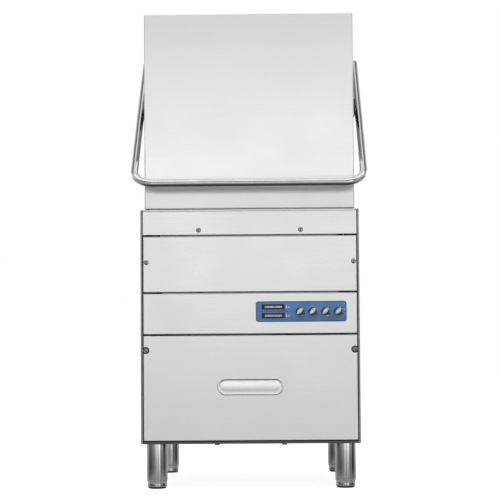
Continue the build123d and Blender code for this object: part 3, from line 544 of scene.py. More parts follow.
# Side steel with painted shade on its cut edges.
SIDE_STEEL = brushed_steel("side_steel", 0.70, 0.34, "Y", cut_edge_shade=True)
REAR_STEEL = brushed_steel("rear_steel", 0.70, 0.38, "Z")
TANK_STEEL = brushed_steel("tank_steel", 0.68, 0.30, "Y")
FRAME_STEEL = brushed_steel("frame_steel", 0.42, 0.42, "X")
INNER_STEEL = brushed_steel("inner_steel", 0.12, 0.50, "X")
ARM_STEEL = polished_steel("arm_steel", 0.66, 0.24)
TUBE_STEEL = polished_steel("tube_steel", 0.62, 0.13)
# The legs get a darker grey than the rest of the steel: painted shade, as they stand under the body.
SHADED_LEG_STEEL = drawn_tube("shaded_leg_steel", 0.43, 0.11)
SCREW_STEEL = polished_steel("screw_steel", 0.52, 0.14)
GRIP_STEEL = brushed_steel("grip_steel", 0.56, 0.26, "Z")
SPRING_STEEL = polished_steel("spring_steel", 0.34, 0.32)
# The feet get a darker grey as well: painted shade under the body.
SHADED_FOOT_STEEL = drawn_tube("foot_steel", 0.48, 0.12)
BLUE_FILM = printed_film("blue_film", (0.075, 0.190, 0.400))
DARK_PLASTIC = moulded("dark_plastic", (0.010, 0.012, 0.028), 0.38)
BLACK_PLASTIC = moulded("black_plastic", (0.014, 0.014, 0.016), 0.42)
GREY_PLASTIC = moulded("grey_plastic", (0.16, 0.17, 0.18), 0.5)
PALE_PLASTIC = moulded("pale_plastic", (0.60, 0.61, 0.62), 0.42)
PUMP_PAINT = cast("pump_paint", (0.20, 0.23, 0.27), 0.45, 0.3)
BRASS = polished_steel("brass", 0.55, 0.26)
PRINT_WHITE = moulded("print_white", (0.78, 0.83, 0.90), 0.5, 0.05)
PRINT_DARK = moulded("print_dark", (0.018, 0.045, 0.14), 0.5, 0.05)
PRINT_BLACK = moulded("print_black", (0.02, 0.02, 0.025), 0.5, 0.05)
SCALE_PRINT = moulded("scale_print", (0.62, 0.57, 0.59), 0.5, 0.05)
POINTER_RED = moulded("pointer_red", (0.45, 0.05, 0.04), 0.45, 0.05)
GAUGE_BLACK = moulded("gauge_black", (0.004, 0.006, 0.016), 0.40, 0.06)
RUBBER = moulded("rubber", (0.012, 0.012, 0.013), 0.75, 0.25)
BADGE_STEEL = brushed_steel("badge_steel", 0.76, 0.26, "X")
LOCK_STEEL = polished_steel("lock_steel", 0.22, 0.09)

CAD_MATERIALS = {
    FRONT_STEEL: ["top_fascia", "middle_panel", "control_panel", "lower_panel", "emblem", "deck_rim"],
    HOOD_STEEL: ["hood_front", "hood_top", "hood_back"],
    SIDE_STEEL: ["hood_left", "hood_right", "side_panel_left", "side_panel_right"],
    REAR_STEEL: ["back_panel", "splash_back", "rear_cover"],
    TANK_STEEL: ["wash_tank"],
    INNER_STEEL: ["base_frame"],
    FRAME_STEEL: ["hood_posts", "electrical_box", "boiler", "handle_levers"],
    ARM_STEEL: [
        "rack_rails", "arm_spindles", "riser_pipe", "overflow_pipe", "wash_arm_lower", "rinse_arm_lower",
        "wash_arm_upper", "rinse_arm_upper", "tank_filters", "heating_elements",
    ],
    TUBE_STEEL: ["handle_tube"],
    SHADED_LEG_STEEL: ["leg_sleeves"],
    SCREW_STEEL: ["panel_screws", "panel_lock_left", "panel_lock_right"],
    GRIP_STEEL: ["knob_1", "knob_2", "knob_3", "knob_4"],
    SPRING_STEEL: ["counterbalance_springs"],
    SHADED_FOOT_STEEL: ["foot_1", "foot_2", "foot_3", "foot_4"],
    BLUE_FILM: ["control_plate"],
    DARK_PLASTIC: ["hood_guides"],
    BLACK_PLASTIC: [
        "thermometers", "rotary_switches", "pump_volute", "pump_impeller", "drain_pump", "dosing_pumps",
    ],
    GREY_PLASTIC: ["water_pipes", "rear_outlets"],
    PALE_PLASTIC: ["guide_rollers"],
    PUMP_PAINT: ["pump_motor"],
    BRASS: ["water_inlet_valve"],
}


def paint_cad():
    """Gives every CAD node its finish."""
    for material, names in CAD_MATERIALS.items():
        for name in names:
            for material_slot in nodes[name].material_slots:
                material_slot.material = material


def make_floor():
    """A plain pale floor; the steel doesn't mirror it, and it lights the object as a darker grey."""
    bpy.ops.mesh.primitive_circle_add(vertices=96, radius=14, fill_type="NGON", location=(0, 0, -0.0005))
    floor = bpy.context.object
    floor.name = "floor"
    pale = bpy.data.materials.new("floor_pale")
    pale.use_nodes = True
    tree = pale.node_tree
    tree.nodes.clear()
    out = tree.nodes.new("ShaderNodeOutputMaterial")
    white = add_node(tree, "BsdfDiffuse", Color=grey_of(FLOOR_SEEN))
    glow = add_node(tree, "Emission", Strength=FLOOR_GLOW)
    seen = tree.nodes.new("ShaderNodeAddShader")
    tree.links.new(white.outputs[0], seen.inputs[0])
    tree.links.new(glow.outputs[0], seen.inputs[1])
    distance = tree.nodes.new("ShaderNodeVectorMath")
    distance.operation = "LENGTH"
    tree.links.new(add_node(tree, "TexCoord").outputs["Object"], distance.inputs[0])
    ends = {"From Min": NEAR_FLOOR, "From Max": FAR_FLOOR, "To Min": NEAR_GREY, "To Max": FAR_GREY}
    spread = add_node(tree, "MapRange", Value=distance.outputs["Value"], **ends)
    carded = add_node(tree, "BsdfDiffuse", Color=spread.outputs["Result"])
    mirrored = add_node(tree, "BsdfTransparent")
    in_steel = add_node(tree, "LightPath").outputs["Is Glossy Ray"]
    choose = add_node(tree, "MixShader", Fac=in_steel)
    tree.links.new(seen_or_not(tree, seen, carded), choose.inputs[1])
    tree.links.new(mirrored.outputs[0], choose.inputs[2])
    tree.links.new(choose.outputs[0], out.inputs["Surface"])
    floor.data.materials.append(pale)


# ---------------- mesh helpers


def new_piece(name, shape, materials, stands_for=(), sharp=32, body="base"):
    """Makes a named piece from a bmesh; it rides on a body and may stand for CAD nodes."""
    bmesh.ops.recalc_face_normals(shape, faces=shape.faces)
    mesh = bpy.data.meshes.new(name)
    shape.to_mesh(mesh)
    shape.free()
    mesh.shade_smooth()
    mesh.set_sharp_from_angle(angle=radians(sharp))
    for material in materials:
        mesh.materials.append(material)
    piece = bpy.data.objects.new(name, mesh)
    place_in_scene(piece)
    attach(piece, body)
    if stands_for:
        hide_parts(*stands_for)
    return piece


def facing(place, axis):
    """The matrix that stands a shape made along +Z on a place, along an axis."""
    return Matrix.Translation(place) @ Vector(axis).to_track_quat("Z", "Y").to_matrix().to_4x4()


def front(x, y, z):
    """The matrix for a shape that faces the front: its Y becomes Z, and its height comes forward."""
    return Matrix.Translation((x, y, z)) @ Matrix.Rotation(pi / 2, 4, "X")


def polar(r, angle):
    """A point on a circle around the origin."""
    return (r * cos(angle), r * sin(angle))


def circle_angles(count):
    """Equal steps around a circle."""
    return [2 * pi * k / count for k in range(count)]


def ring_of(shape, points, matrix):
    """One ring of vertices."""
    return [shape.verts.new(matrix @ Vector(point)) for point in points]


def skin(shape, rings, material=0, cap_start=True, cap_end=True):
    """Faces between rings of equal count, and over the first and the last."""
    faces = []
    for near, far in zip(rings, rings[1:]):
        count = len(near)
        for i in range(count):
            j = (i + 1) % count
            faces.append(shape.faces.new((near[i], near[j], far[j], far[i])))
    if cap_start:
        faces.append(shape.faces.new(rings[0][::-1]))
    if cap_end:
        faces.append(shape.faces.new(rings[-1]))
    for face in faces:
        face.material_index = material
    return faces


def softened(points, radius, steps=4):
    """A polyline whose inner corners are rounded."""
    result = [Vector(points[0])]
    for before, corner, after in zip(points, points[1:], points[2:]):
        before, corner, after = Vector(before), Vector(corner), Vector(after)
        into, out = before - corner, after - corner
        reach = min(radius, into.length / 2, out.length / 2)
        start = corner + into.normalized() * reach
        end = corner + out.normalized() * reach
        for step in range(steps + 1):
            t = step / steps
            result.append(start * (1 - t) ** 2 + corner * 2 * t * (1 - t) + end * t * t)
    result.append(Vector(points[-1]))
    return result


def turned(shape, profile, matrix, material=0, count=64, radius=0.0004):
    """A solid of revolution from (radius, height) points, with softened corners."""
    rings = []
    for point in softened([(r, height, 0) for r, height in profile], radius):
        circle = [(*polar(point.x, angle), point.y) for angle in circle_angles(count)]
        rings.append(ring_of(shape, circle, matrix))
    return skin(shape, rings, material)


def rounded_outline(width, height, radius):
    """Outline of a rectangle with round corners, as a function of how far it is inset."""

    def outline(inset):
        w, h = width / 2 - inset, height / 2 - inset
        r = max(radius - inset, 0.0001)
        points = []
        centres = ((w - r, h - r), (r - w, h - r), (r - w, r - h), (w - r, r - h))
        for quarter, (cx, cy) in enumerate(centres):
            for step in range(CORNER_STEPS + 1):
                x, y = polar(r, pi / 2 * (quarter + step / CORNER_STEPS))
                points.append((cx + x, cy + y))
        return points

    return outline


def lens_outline(half_length, half_width, tilt):
    """Outline of a pointed oval, turned by an angle, as a function of its inset."""

    def outline(inset):
        a, b = half_length - inset, half_width - inset
        points = []
        for t in circle_angles(LENS_STEPS):
            x = a * cos(t)
            y = b * copysign(abs(sin(t)) ** 1.12, sin(t))
            turned_x = x * cos(tilt) - y * sin(tilt)
            points.append((turned_x, x * sin(tilt) + y * cos(tilt)))
        return points

    return outline


def raised(shape, outline, levels, matrix, material=0, cap_start=True, cap_end=True):
    """A plate built up from (height, inset) levels of an outline."""
    rings = []
    for height, inset in levels:
        rings.append(ring_of(shape, [(x, y, height) for x, y in outline(inset)], matrix))
    return skin(shape, rings, material, cap_start, cap_end)


def tube(shape, points, radius, sides=16, material=0):
    """A round bar along points, with its section carried along without twist."""
    points = [Vector(point) for point in points]
    ahead = (points[1] - points[0]).normalized()
    side = ahead.orthogonal().normalized()
    rings = []
    for i, point in enumerate(points):
        before, after = points[max(i - 1, 0)], points[min(i + 1, len(points) - 1)]
        now = (after - before).normalized()
        side = (ahead.rotation_difference(now) @ side).normalized()
        ahead = now
        up = ahead.cross(side)
        circle = []
        for angle in circle_angles(sides):
            circle.append(point + side * radius * cos(angle) + up * radius * sin(angle))
        rings.append([shape.verts.new(place) for place in circle])
    return skin(shape, rings, material)


def bent(points, radius, steps=20):
    """Straight runs joined by arcs of one radius."""
    result = [Vector(points[0])]
    for before, corner, after in zip(points, points[1:], points[2:]):
        into = (Vector(before) - Vector(corner)).normalized()
        out = (Vector(after) - Vector(corner)).normalized()
        half = into.angle(out) / 2
        centre = Vector(corner) + (into + out).normalized() * radius / sin(half)
        start = Vector(corner) + into * radius / tan(half) - centre
        end = Vector(corner) + out * radius / tan(half) - centre
        turn = start.rotation_difference(end)
        for step in range(steps + 1):
            result.append(centre + Quaternion().slerp(turn, step / steps) @ start)
    result.append(Vector(points[-1]))
    return result


def carved(shape, cutter):
    """A shape with a cutter taken away from it."""
    pair = []
    for source in (shape, cutter):
        bmesh.ops.recalc_face_normals(source, faces=source.faces)
        mesh = bpy.data.meshes.new("carve")
        source.to_mesh(mesh)
        source.free()
        pair.append(bpy.data.objects.new("carve", mesh))
        place_in_scene(pair[-1])
    cut = pair[0].modifiers.new("cut", "BOOLEAN")
    cut.operation = "DIFFERENCE"
    cut.solver = "EXACT"
    cut.object = pair[1]
    bpy.context.view_layer.update()
    result = bmesh.new()
    result.from_object(pair[0], bpy.context.evaluated_depsgraph_get())
    for item in pair:
        bpy.data.objects.remove(item)
    return result


def stamp(shape, pattern, matrix):
    """Adds a copy of a mesh to a shape."""
    start = len(shape.verts)
    shape.from_mesh(pattern)
    shape.verts.ensure_lookup_table()
    bmesh.ops.transform(shape, matrix=matrix, verts=shape.verts[start:])


def pattern_of(shape):
    """A mesh to stamp, from a bmesh."""
    mesh = bpy.data.meshes.new("pattern")
    shape.to_mesh(mesh)
    shape.free()
    return mesh


def face_of(node):
    """The middle of a node's box, with its width and height."""
    low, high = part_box(node)
    return (low + high) / 2, high.x - low.x, high.z - low.z


def bar_block(shape, size, matrix, material=0, soft=0.0002):
    """A slim block with softened edges, centred on the place and standing on it."""
    width, height, depth = size
    levels = [(0, 0), (depth - soft, 0), (depth, soft)]
    outline = rounded_outline(width, height, min(width, height) * 0.24)
    return raised(shape, outline, levels, matrix, material)


# ---------------- front fittings


def dome_screw():
    """A dome-headed screw with a cross recess, head only, seen along +Z."""
    head = bmesh.new()
    angles = [pi / 2 * (1 - k / DOME_STEPS) for k in range(DOME_STEPS)]
    dome = [(SCREW_R * sin(a), DOME_FOOT + DOME_RISE * cos(a)) for a in angles]
    profile = [(SCREW_R, -DOME_FOOT)] + dome + [(0.0002, DOME_FOOT + DOME_RISE)]
    turned(head, profile, Matrix.Identity(4), radius=0.0001, count=48)
    for turn in CROSS_TURNS:
        slot = bmesh.new()
        bar_block(slot, CROSS_CUT, lifted(CROSS_FLOOR) @ Matrix.Rotation(turn, 4, "Z"))
        head = carved(head, slot)
    return pattern_of(head)


def lifted(height):
    """The matrix that moves a shape along its own +Z."""
    return Matrix.Translation((0, 0, height))


def row_heights(low, high, margin):
    """Heights of a row of screws between two ends, with a margin at each."""
    span = high - low - 2 * margin
    return [low + margin + span * step / (SCREWS_IN_ROW - 1) for step in range(SCREWS_IN_ROW)]


def make_screws():
    """Dome screws of the front, and those of the rear cover's sides and the rear sheet."""
    screw = dome_screw()
    low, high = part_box("panel_screws")
    front_set = bmesh.new()
    upper = (SCREW_TOP_X, low.z + SCREW_R + SCREW_RISE)
    lower = (high.x - SCREW_R, low.z + SCREW_R)
    for x, z in (upper, lower):
        for side in (-x, x):
            place = front(side, FRONT_Y, z)
            stamp(front_set, screw, place)
            turned(front_set, WASHER, place, 1, 48, 0.0003)
            # A black bar on the floor of each arm of the cross: painted shade in the recess.
            for turn in CROSS_TURNS:
                shade = lifted(SHADE_FLOOR) @ Matrix.Rotation(turn, 4, "Z")
                bar_block(front_set, CROSS_SHADE, place @ shade, 1, 0.0001)
    inks = [SCREW_STEEL, BLACK_PLASTIC]
    new_piece("front_screws", front_set, inks, ["panel_screws"])
    smaller = Matrix.Scale(REAR_SCREW_SCALE, 4)
    low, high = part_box("back_panel")
    rear_set = bmesh.new()
    for x in (low.x + 0.012, high.x - 0.012):
        for z in row_heights(low.z, high.z, 0.03):
            stamp(rear_set, screw, facing((x, high.y, z), (0, 1, 0)) @ smaller)
    low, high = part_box("rear_cover")
    for side, x in ((-1, low.x), (1, high.x)):
        for z in row_heights(low.z, high.z, 0.04):
            stamp(rear_set, screw, facing((x, high.y - 0.014, z), (side, 0, 0)) @ smaller)
    new_piece("rear_screws", rear_set, [SCREW_STEEL])


def make_locks():
    """Quarter-turn locks: a dark seat ring, a bright dished head, a deep slot, a shaft and its cam."""
    for side, name in ((-1, "left"), (1, "right")):
        node = "panel_lock_" + name
        low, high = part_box(node)
        head = bmesh.new()
        turned(head, LOCK_HEAD, Matrix.Identity(4), radius=0.0006)
        slot = bmesh.new()
        bar_block(slot, LOCK_SLOT, lifted(0.0006) @ Matrix.Rotation(0.7, 4, "Z"))
        head = pattern_of(carved(head, slot))
        lock = bmesh.new()
        x, z = side * LOCK_X, (low.z + high.z) / 2
        stamp(lock, head, front(x, FRONT_Y - 0.0004, z))
        turned(lock, LOCK_SEAT, front(x, FRONT_Y, z), material=1, radius=0.0003)
        turned(lock, LOCK_SHAFT, front(x, FRONT_Y - 0.0003, z), radius=0.0005, count=32)
        bar_block(lock, LOCK_CAM, front(x, FRONT_Y, z) @ lifted(LOCK_SHAFT[-1][1]))
        inks = [LOCK_STEEL, BLACK_PLASTIC]
        new_piece("quarter_turn_lock_" + name, lock, inks, [node], body="lock_" + name)


def make_plate():
    """The printed control plate: a film with a soft edge, a border, a middle line and small marks."""
    low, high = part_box("control_plate")
    centre, width, height = face_of("control_plate")
    plate = bmesh.new()
    outline = rounded_outline(width, height, PLATE_R)
    raised(plate, outline, FILM_EDGE, front(centre.x, FRONT_Y, centre.z))
    new_piece("control_film", plate, [BLUE_FILM], ["control_plate"])
    face = FRONT_Y - FILM_EDGE[-1][0]
    print_set = bmesh.new()

    def mark(size, x, z, ink=1, soft=INK_SOFT):
        bar_block(print_set, size, front(x, face, z), ink, soft)

    def dot(r, x, z, ink):
        turned(print_set, [(r, -0.0001), (r, THICK_INK)], front(x, face, z), ink, 24, 0.00003)

    border = rounded_outline(width - 0.0022, height - 0.0022, PLATE_R - 0.001)
    raised(print_set, border, BORDER_LINE, front(centre.x, face, centre.z), 0, False, False)
    for x0, x1 in line_spans(low.x + 0.004, high.x - 0.004):
        mark((x1 - x0, 0.0009, INK), (x0 + x1) / 2, centre.z + 0.0003, 0, 0.0002)
    for i, x in enumerate(KNOB_XS):
        dot(0.0026, x + 0.0125, centre.z - 0.0070, 2)
        if i == 2:
            mark((0.0044, 0.0024, THICK_INK), x + 0.006, centre.z - 0.0132)
        for step in range(5):
            angle = radians(150 - 30 * step)
            aside, up = polar(0.0142, angle)
            tick = front(x + aside, face, centre.z + up) @ Matrix.Rotation(angle, 4, "Z")
            bar_block(print_set, (0.0019, 0.0006, INK), tick, 1, INK_SOFT)
    mark((0.0026, 0.0013, INK), KNOB_XS[3] + 0.0185, centre.z + 0.0052)
    for z in GAUGE_ZS:
        mark((0.0018, 0.0072, THICK_INK), GAUGE_X + 0.0385, z + 0.0012)
        dot(0.0021, GAUGE_X + 0.0385, z - 0.0022, 1)
        mark((0.0042, 0.0026, THICK_INK), GAUGE_X + 0.0456, z - 0.0012)
    inks = [PRINT_DARK, PRINT_WHITE, PRINT_BLACK]
    new_piece("plate_print", print_set, inks)


def line_spans(start, end):
    """The stretches of the plate's middle line, which stops at each selector."""
    edges = [start]
    for x in KNOB_XS:
        edges += [x - 0.0105, x + 0.0105]
    edges.append(end)
    return list(zip(edges[::2], edges[1::2]))


def make_gauges():
    """Two strip thermometers: dark bezel, sunken pale scale with ticks and blank blocks, and a pointer."""
    frames = bmesh.new()
    scales = bmesh.new()
    for z in GAUGE_ZS:
        at = front(GAUGE_X, FRONT_Y - GAUGE_OUT, z)
        raised(frames, rounded_outline(0.0660, 0.0145, 0.0012), BEZEL, at)
        raised(frames, rounded_outline(0.0560, 0.0086, 0.0006), WINDOW_LIP, at, 0, False, False)
        strip = front(GAUGE_X + 0.0005, FRONT_Y - GAUGE_OUT - 0.0004, z - 0.0002)
        bar_block(scales, (0.0500, 0.0052, 0.0003), strip, 0, INK_SOFT)
        for tick in range(GAUGE_TICKS):
            long = tick % 5 == 1
            tall = 0.0030 if long else 0.0017
            wide = 0.00055 if long else 0.0004
            x = -0.0231 + GAUGE_TICK_PITCH * tick
            place = strip @ Matrix.Translation((x, 0.0023 - tall / 2, 0.0003))
            bar_block(scales, (wide, tall, SCALE_INK), place, 1, 0.00002)
        for spot in range(GAUGE_GROUPS):
            x = -0.0210 + GAUGE_GROUP_PITCH * spot
            group = strip @ Matrix.Translation((x, -0.0014, 0.0003))
            for aside in (-0.0009, 0.0009):
                place = group @ Matrix.Translation((aside, 0, 0))
                bar_block(scales, (0.0010, 0.0015, SCALE_INK), place, 1, 0.00002)
        pointer = strip @ Matrix.Translation((0.003, 0.0002, 0.00035))
        bar_block(scales, (0.0008, 0.0050, 0.0003), pointer, 2, INK_SOFT)
    new_piece("thermometer_bezels", frames, [GAUGE_BLACK], ["thermometers"])
    inks = [SCALE_PRINT, PRINT_BLACK, POINTER_RED]
    new_piece("thermometer_scales", scales, inks)


def make_knobs():
    """Selectors: a dark ribbed skirt under a bright pointed-oval grip with a sunken index line."""
    for i, x in enumerate(KNOB_XS, 1):
        low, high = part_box(f"knob_{i}")
        at = front(x, FRONT_Y - 0.0014, (low.z + high.z) / 2)
        body = f"selector_{i}"
        skirt = bmesh.new()
        ribs = []
        for height, r, depth in SKIRT:
            ring = []
            for step, angle in enumerate(circle_angles(RIB_STEPS)):
                reach = r - depth * (step % 4 in (1, 2))
                ring.append((*polar(reach, angle), height))
            ribs.append(ring_of(skirt, ring, at))
        skin(skirt, ribs)
        new_piece(f"selector_skirt_{i}", skirt, [BLACK_PLASTIC], body=body)
        grip = bmesh.new()
        raised(grip, lens_outline(0.0124, 0.0070, KNOB_TILT), GRIP, at)
        groove = bmesh.new()
        along = Matrix.Rotation(KNOB_TILT, 4, "Z")
        bar_block(groove, GRIP_GROOVE, at @ along @ Matrix.Translation((0.0065, 0, 0.0121)))
        grip = carved(grip, groove)
        new_piece(f"selector_grip_{i}", grip, [GRIP_STEEL], [f"knob_{i}"], 40, body)


def make_badge():
    """A blank pressed badge with round ends: a rim with soft shoulders around a plain sunken field."""
    centre, width, height = face_of("emblem")
    badge = bmesh.new()
    outline = rounded_outline(width, height, height / 2)
    raised(badge, outline, BADGE, front(centre.x, FRONT_Y, centre.z))
    new_piece("blank_badge", badge, [BADGE_STEEL], ["emblem"], 60)


def make_hem():
    """The folded hem along the control panel's lower edge, just below its crease."""
    low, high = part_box("control_panel")
    hem = bmesh.new()
    size = (high.x - low.x - 0.004, HEM_H, 0.0007)
    bar_block(hem, size, front(0, FRONT_Y, low.z + 0.0022 + HEM_H / 2), 0, 0.0004)
    new_piece("control_panel_hem", hem, [FRONT_STEEL])


# ---------------- handle, springs and legs


def make_handle():
    """The bent tube, with a domed black plug in each end."""
    low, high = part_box("handle_tube")
    r = TUBE_R
    side = high.x - r
    bar = (low.y + r, low.z + r)
    end = (high.y - r, high.z - r)
    corners = [(side, *end), (side, *bar), (-side, *bar), (-side, *end)]
    shape = bmesh.new()
    tube(shape, bent(corners, BEND_R, 24), r, 40)
    along = (Vector(corners[0]) - Vector(corners[1])).normalized()
    angles = [pi / 2 * k / 8 for k in range(8)]
    dome = [(r * cos(a), r * PLUG_RISE * sin(a)) for a in angles]
    profile = [(r, -0.004)] + dome + [(0.0002, r * PLUG_RISE)]
    for x in (-side, side):
        turned(shape, profile, facing((x, *end), along), 1, 40, 0.0002)
    inks = [TUBE_STEEL, BLACK_PLASTIC]
    new_piece("handle_bar", shape, inks, ["handle_tube"], 50, "handle")


def make_springs():
    """Wound counterbalance springs with hooked ends, each with a mesh of its own; on the machine they
    shorten as the handle goes up.
    """
    low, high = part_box("counterbalance_springs")
    y = (low.y + high.y) / 2
    pin_z = high.z + 0.0034
    for side, name in ((-1, "left"), (1, "right")):
        x = side * SPRING_X
        shape = bmesh.new()
        turns = int((high.z - low.z - 0.052) / SPRING_PITCH)
        start, end = low.z + 0.024, high.z - 0.028
        coil = []
        for step in range(turns * SPRING_STEPS + 1):
            angle = 2 * pi * step / SPRING_STEPS
            part = step / (turns * SPRING_STEPS)
            taper = SPRING_COIL_R * min(1.0, 0.35 + 12 * part, 0.35 + 12 * (1 - part))
            aside, back = polar(taper, angle)
            coil.append((x + aside, y + back, start + (end - start) * part))
        top_loop = []
        foot_loop = []
        for k in range(1, 12):
            a, b = 0.5 * k, 0.5 * (12 - k)
            top_loop.append((x, y + HOOK_R * sin(a), pin_z - HOOK_R * cos(a)))
            foot_z = low.z + 0.0052 + FOOT_HOOK_R * cos(b)
            foot_loop.append((x, y - FOOT_HOOK_R * sin(b), foot_z))
        path = foot_loop + [(x, y, low.z + 0.014)] + coil + [(x, y, pin_z - 0.012)] + top_loop
        tube(shape, path, SPRING_WIRE_R, 8)
        stands_for = ["counterbalance_springs"]
        piece = new_piece("spring_" + name, shape, [SPRING_STEEL], stands_for, 80)
        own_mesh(piece)


def make_legs():
    """Leg sleeves with a rolled lower edge, and feet with a groove and a rubber pad."""
    low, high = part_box("leg_sleeves")
    sleeves = bmesh.new()
    for i in range(1, 5):
        foot_low, foot_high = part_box(f"foot_{i}")
        x, y = (foot_low.x + foot_high.x) / 2, (foot_low.y + foot_high.y) / 2
        at = Matrix.Translation((x, y, 0))
        r = LEG_R
        sleeve = [
            (r - 0.0016, high.z), (r, high.z), (r, low.z + 0.0046), (r - 0.0004, low.z + 0.0040),
            (r - 0.0004, low.z + 0.0030), (r, low.z + 0.0024), (r - 0.0002, low.z), (r - 0.0016, low.z),
            (r - 0.0016, low.z + 0.03),
        ]
        turned(sleeves, sleeve, at, 0, 96, 0.0004)
        foot = bmesh.new()
        f = FOOT_R
        cup = [
            (f - 0.0030, 0.0046), (f - 0.0004, 0.0050), (f, 0.0064), (f, 0.0150), (f - 0.0005, 0.0154),
            (f - 0.0005, 0.0164), (f, 0.0168), (f, 0.0790), (f - 0.0010, 0.0800), (f - 0.0040, 0.0800),
        ]
        turned(foot, cup, at, 0, 96, 0.0004)
        pad = [
            (0.0008, 0.0), (f - 0.0046, 0.0), (f - 0.0018, 0.0022), (f - 0.0006, 0.0046),
            (f - 0.0010, 0.0054), (0.0008, 0.0054),
        ]
        turned(foot, pad, at, 1, 96, 0.0012)
        node = f"foot_{i}"
        new_piece("levelling_" + node, foot, [SHADED_FOOT_STEEL, RUBBER], [node], 40, node)
    new_piece("leg_tubes", sleeves, [SHADED_LEG_STEEL], ["leg_sleeves"], 40)


def make_pivot_caps():
    """Domed retaining caps on the stubs that carry the levers."""
    post_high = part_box("hood_posts")[1]
    caps = bmesh.new()
    for side in (-1, 1):
        turned(caps, PIVOT_CAP, facing((side * post_high.x, *PIVOT), (side, 0, 0)), 0, 48, 0.0008)
    new_piece("pivot_caps", caps, [SCREW_STEEL])


# ---------------- inside and rear


def perforated(shape, x0, x1, y0, y1, place, skipped=None):
    """A sheet of round holes on a square pitch; place turns (u, v) into a point."""
    columns, rows = round((x1 - x0) / HOLE_PITCH), round((y1 - y0) / HOLE_PITCH)
    step_x, step_y = (x1 - x0) / columns, (y1 - y0) / rows
    shared = {}

    def corner(i, j):
        if (i, j) not in shared:
            shared[i, j] = shape.verts.new(place(x0 + i * step_x / 2, y0 + j * step_y / 2))
        return shared[i, j]

    around = [(0, 0), (1, 0), (2, 0), (2, 1), (2, 2), (1, 2), (0, 2), (0, 1)]
    for column in range(columns):
        for row in range(rows):
            u, v = x0 + (column + 0.5) * step_x, y0 + (row + 0.5) * step_y
            if skipped and skipped(u, v):
                continue
            rim = [corner(2 * column + i, 2 * row + j) for i, j in around]
            hole = []
            for k in range(8):
                aside, up = polar(HOLE_R, radians(225 + 45 * k))
                hole.append(shape.verts.new(place(u + aside, v + up)))
            for k in range(8):
                shape.faces.new((rim[k], rim[(k + 1) % 8], hole[(k + 1) % 8], hole[k]))


def make_filters():
    """Perforated lift-out trays with folded walls and a hand bail each, and the suction basket."""
    low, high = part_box("tank_filters")
    floor_z = high.z - 0.010
    corner_x, corner_y = NOTCH
    basket_x, basket_y = SUCTION
    shape = bmesh.new()

    def on_tray(u, v):
        return (u, v, floor_z + 0.0015)

    def left_out(u, v):
        return abs(u) < 0.026 and abs(v) < 0.026 or u < corner_x and v < corner_y

    def on_basket(u, v):
        x, y = polar(BASKET_R, u / BASKET_R)
        return (basket_x + x, basket_y + y, v)

    for x0, x1 in ((low.x + 0.002, -0.0025), (0.0025, high.x - 0.002)):
        perforated(shape, x0, x1, low.y + 0.002, high.y - 0.002, on_tray, left_out)
    perforated(shape, 0.0, 2 * pi * BASKET_R, low.z, low.z + BASKET_H, on_basket)
    sheet = new_piece("filter_sheets", shape, [ARM_STEEL], ["tank_filters"], 50)
    thick = sheet.modifiers.new("sheet", "SOLIDIFY")
    thick.thickness = 0.0009
    rims = bmesh.new()
    for x0, x1 in ((low.x + 0.0012, -0.0016), (0.0016, high.x - 0.0012)):
        middle = (x0 + x1) / 2
        outline = rounded_outline(x1 - x0, high.y - low.y - 0.002, 0.004)
        at = Matrix.Translation((middle, (low.y + high.y) / 2, floor_z))
        raised(rims, outline, TRAY_WALL, at, 0, False, False)
        path = ((-0.045, 0.0015), (-0.045, 0.013), (0.045, 0.013), (0.045, 0.0015))
        bail = [(middle, y, floor_z + rise) for y, rise in path]
        tube(rims, bent(bail, 0.006, 8), 0.002, 12)
    lid_r = BASKET_R + 0.001
    lid = [(0.0004, 0.0), (lid_r, 0.0), (lid_r, 0.002), (0.0004, 0.0026)]
    at = Matrix.Translation((basket_x, basket_y, low.z + BASKET_H - 0.001))
    turned(rims, lid, at, 0, 64, 0.0006)
    new_piece("filter_rims", rims, [ARM_STEEL])


def make_thread():
    """The inlet's thread: one wire wound around its end."""
    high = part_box("water_inlet_valve")[1]
    x, z = INLET_XZ
    thread = bmesh.new()
    path = []
    for step in range(THREAD_TURNS * THREAD_STEPS + 1):
        aside, up = polar(THREAD_R, 2 * pi * step / THREAD_STEPS)
        path.append((x + aside, high.y - 0.0015 - THREAD_PITCH * step / THREAD_STEPS, z + up))
    tube(thread, path, 0.0006, 8)
    new_piece("inlet_thread", thread, [BRASS], (), 60)


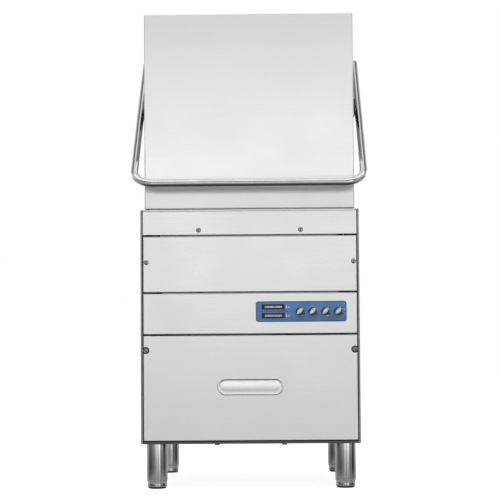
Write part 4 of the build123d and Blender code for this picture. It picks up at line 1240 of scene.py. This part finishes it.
def make_services(back_y):
    """Hose barbs on the drain, and a rubber seal around each service in the back panel."""
    barbs = bmesh.new()
    for step in range(BARBS):
        place = (0, back_y + 0.003 + BARB_PITCH * step, DRAIN_Z)
        turned(barbs, BARB, facing(place, (0, 1, 0)), 0, 48, 0.0002)
    new_piece("drain_barbs", barbs, [GREY_PLASTIC])
    x, z = INLET_XZ
    seal = bmesh.new()
    for seal_x, seal_z, inner in ((x, z, 0.0134), (0, DRAIN_Z, 0.0162), (-x, z, 0.0122)):
        ring = [
            (inner, 0.0), (inner + 0.0052, 0.0), (inner + 0.0050, 0.0013), (inner + 0.0010, 0.0022),
            (inner, 0.0018), (inner, 0.0),
        ]
        turned(seal, ring, facing((seal_x, back_y, seal_z), (0, 1, 0)), 0, 48, 0.0003)
    new_piece("service_seals", seal, [RUBBER])


def make_louvres(back_y):
    """Pressed vent louvres in the back panel, open below."""
    hoods = bmesh.new()
    for row in range(LOUVRES):
        louvre_z = LOUVRE_Z0 + LOUVRE_PITCH * row
        verts = []
        for step in range(7):
            angle = pi / 2 * step / 6
            y = back_y + LOUVRE_OUT * sin(angle)
            z = louvre_z + (LOUVRE_RISE - LOUVRE_RISE * (1 - cos(angle)))
            verts.append([hoods.verts.new((x, y, z)) for x in (-LOUVRE_HALF, LOUVRE_HALF)])
        for near, far in zip(verts, verts[1:]):
            hoods.faces.new((near[0], near[1], far[1], far[0]))
        for end, x in enumerate((-LOUVRE_HALF, LOUVRE_HALF)):
            foot = hoods.verts.new((x, back_y, louvre_z))
            hoods.faces.new([ring[end] for ring in verts] + [foot])
    louvres = new_piece("vent_louvres", hoods, [REAR_STEEL], (), 60)
    thick = louvres.modifiers.new("sheet", "SOLIDIFY")
    thick.thickness = 0.0008
    thick.offset = -1


bpy.context.scene.view_settings.view_transform = "Standard"
make_camera()
make_world()
for lamp in LAMPS:
    area_light(*lamp)
make_floor()
paint_cad()
make_screws()
make_locks()
make_plate()
make_gauges()
make_knobs()
make_badge()
make_hem()
make_handle()
make_springs()
make_legs()
make_pivot_caps()
make_filters()
make_thread()
make_services(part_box("back_panel")[1].y)
make_louvres(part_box("back_panel")[1].y)
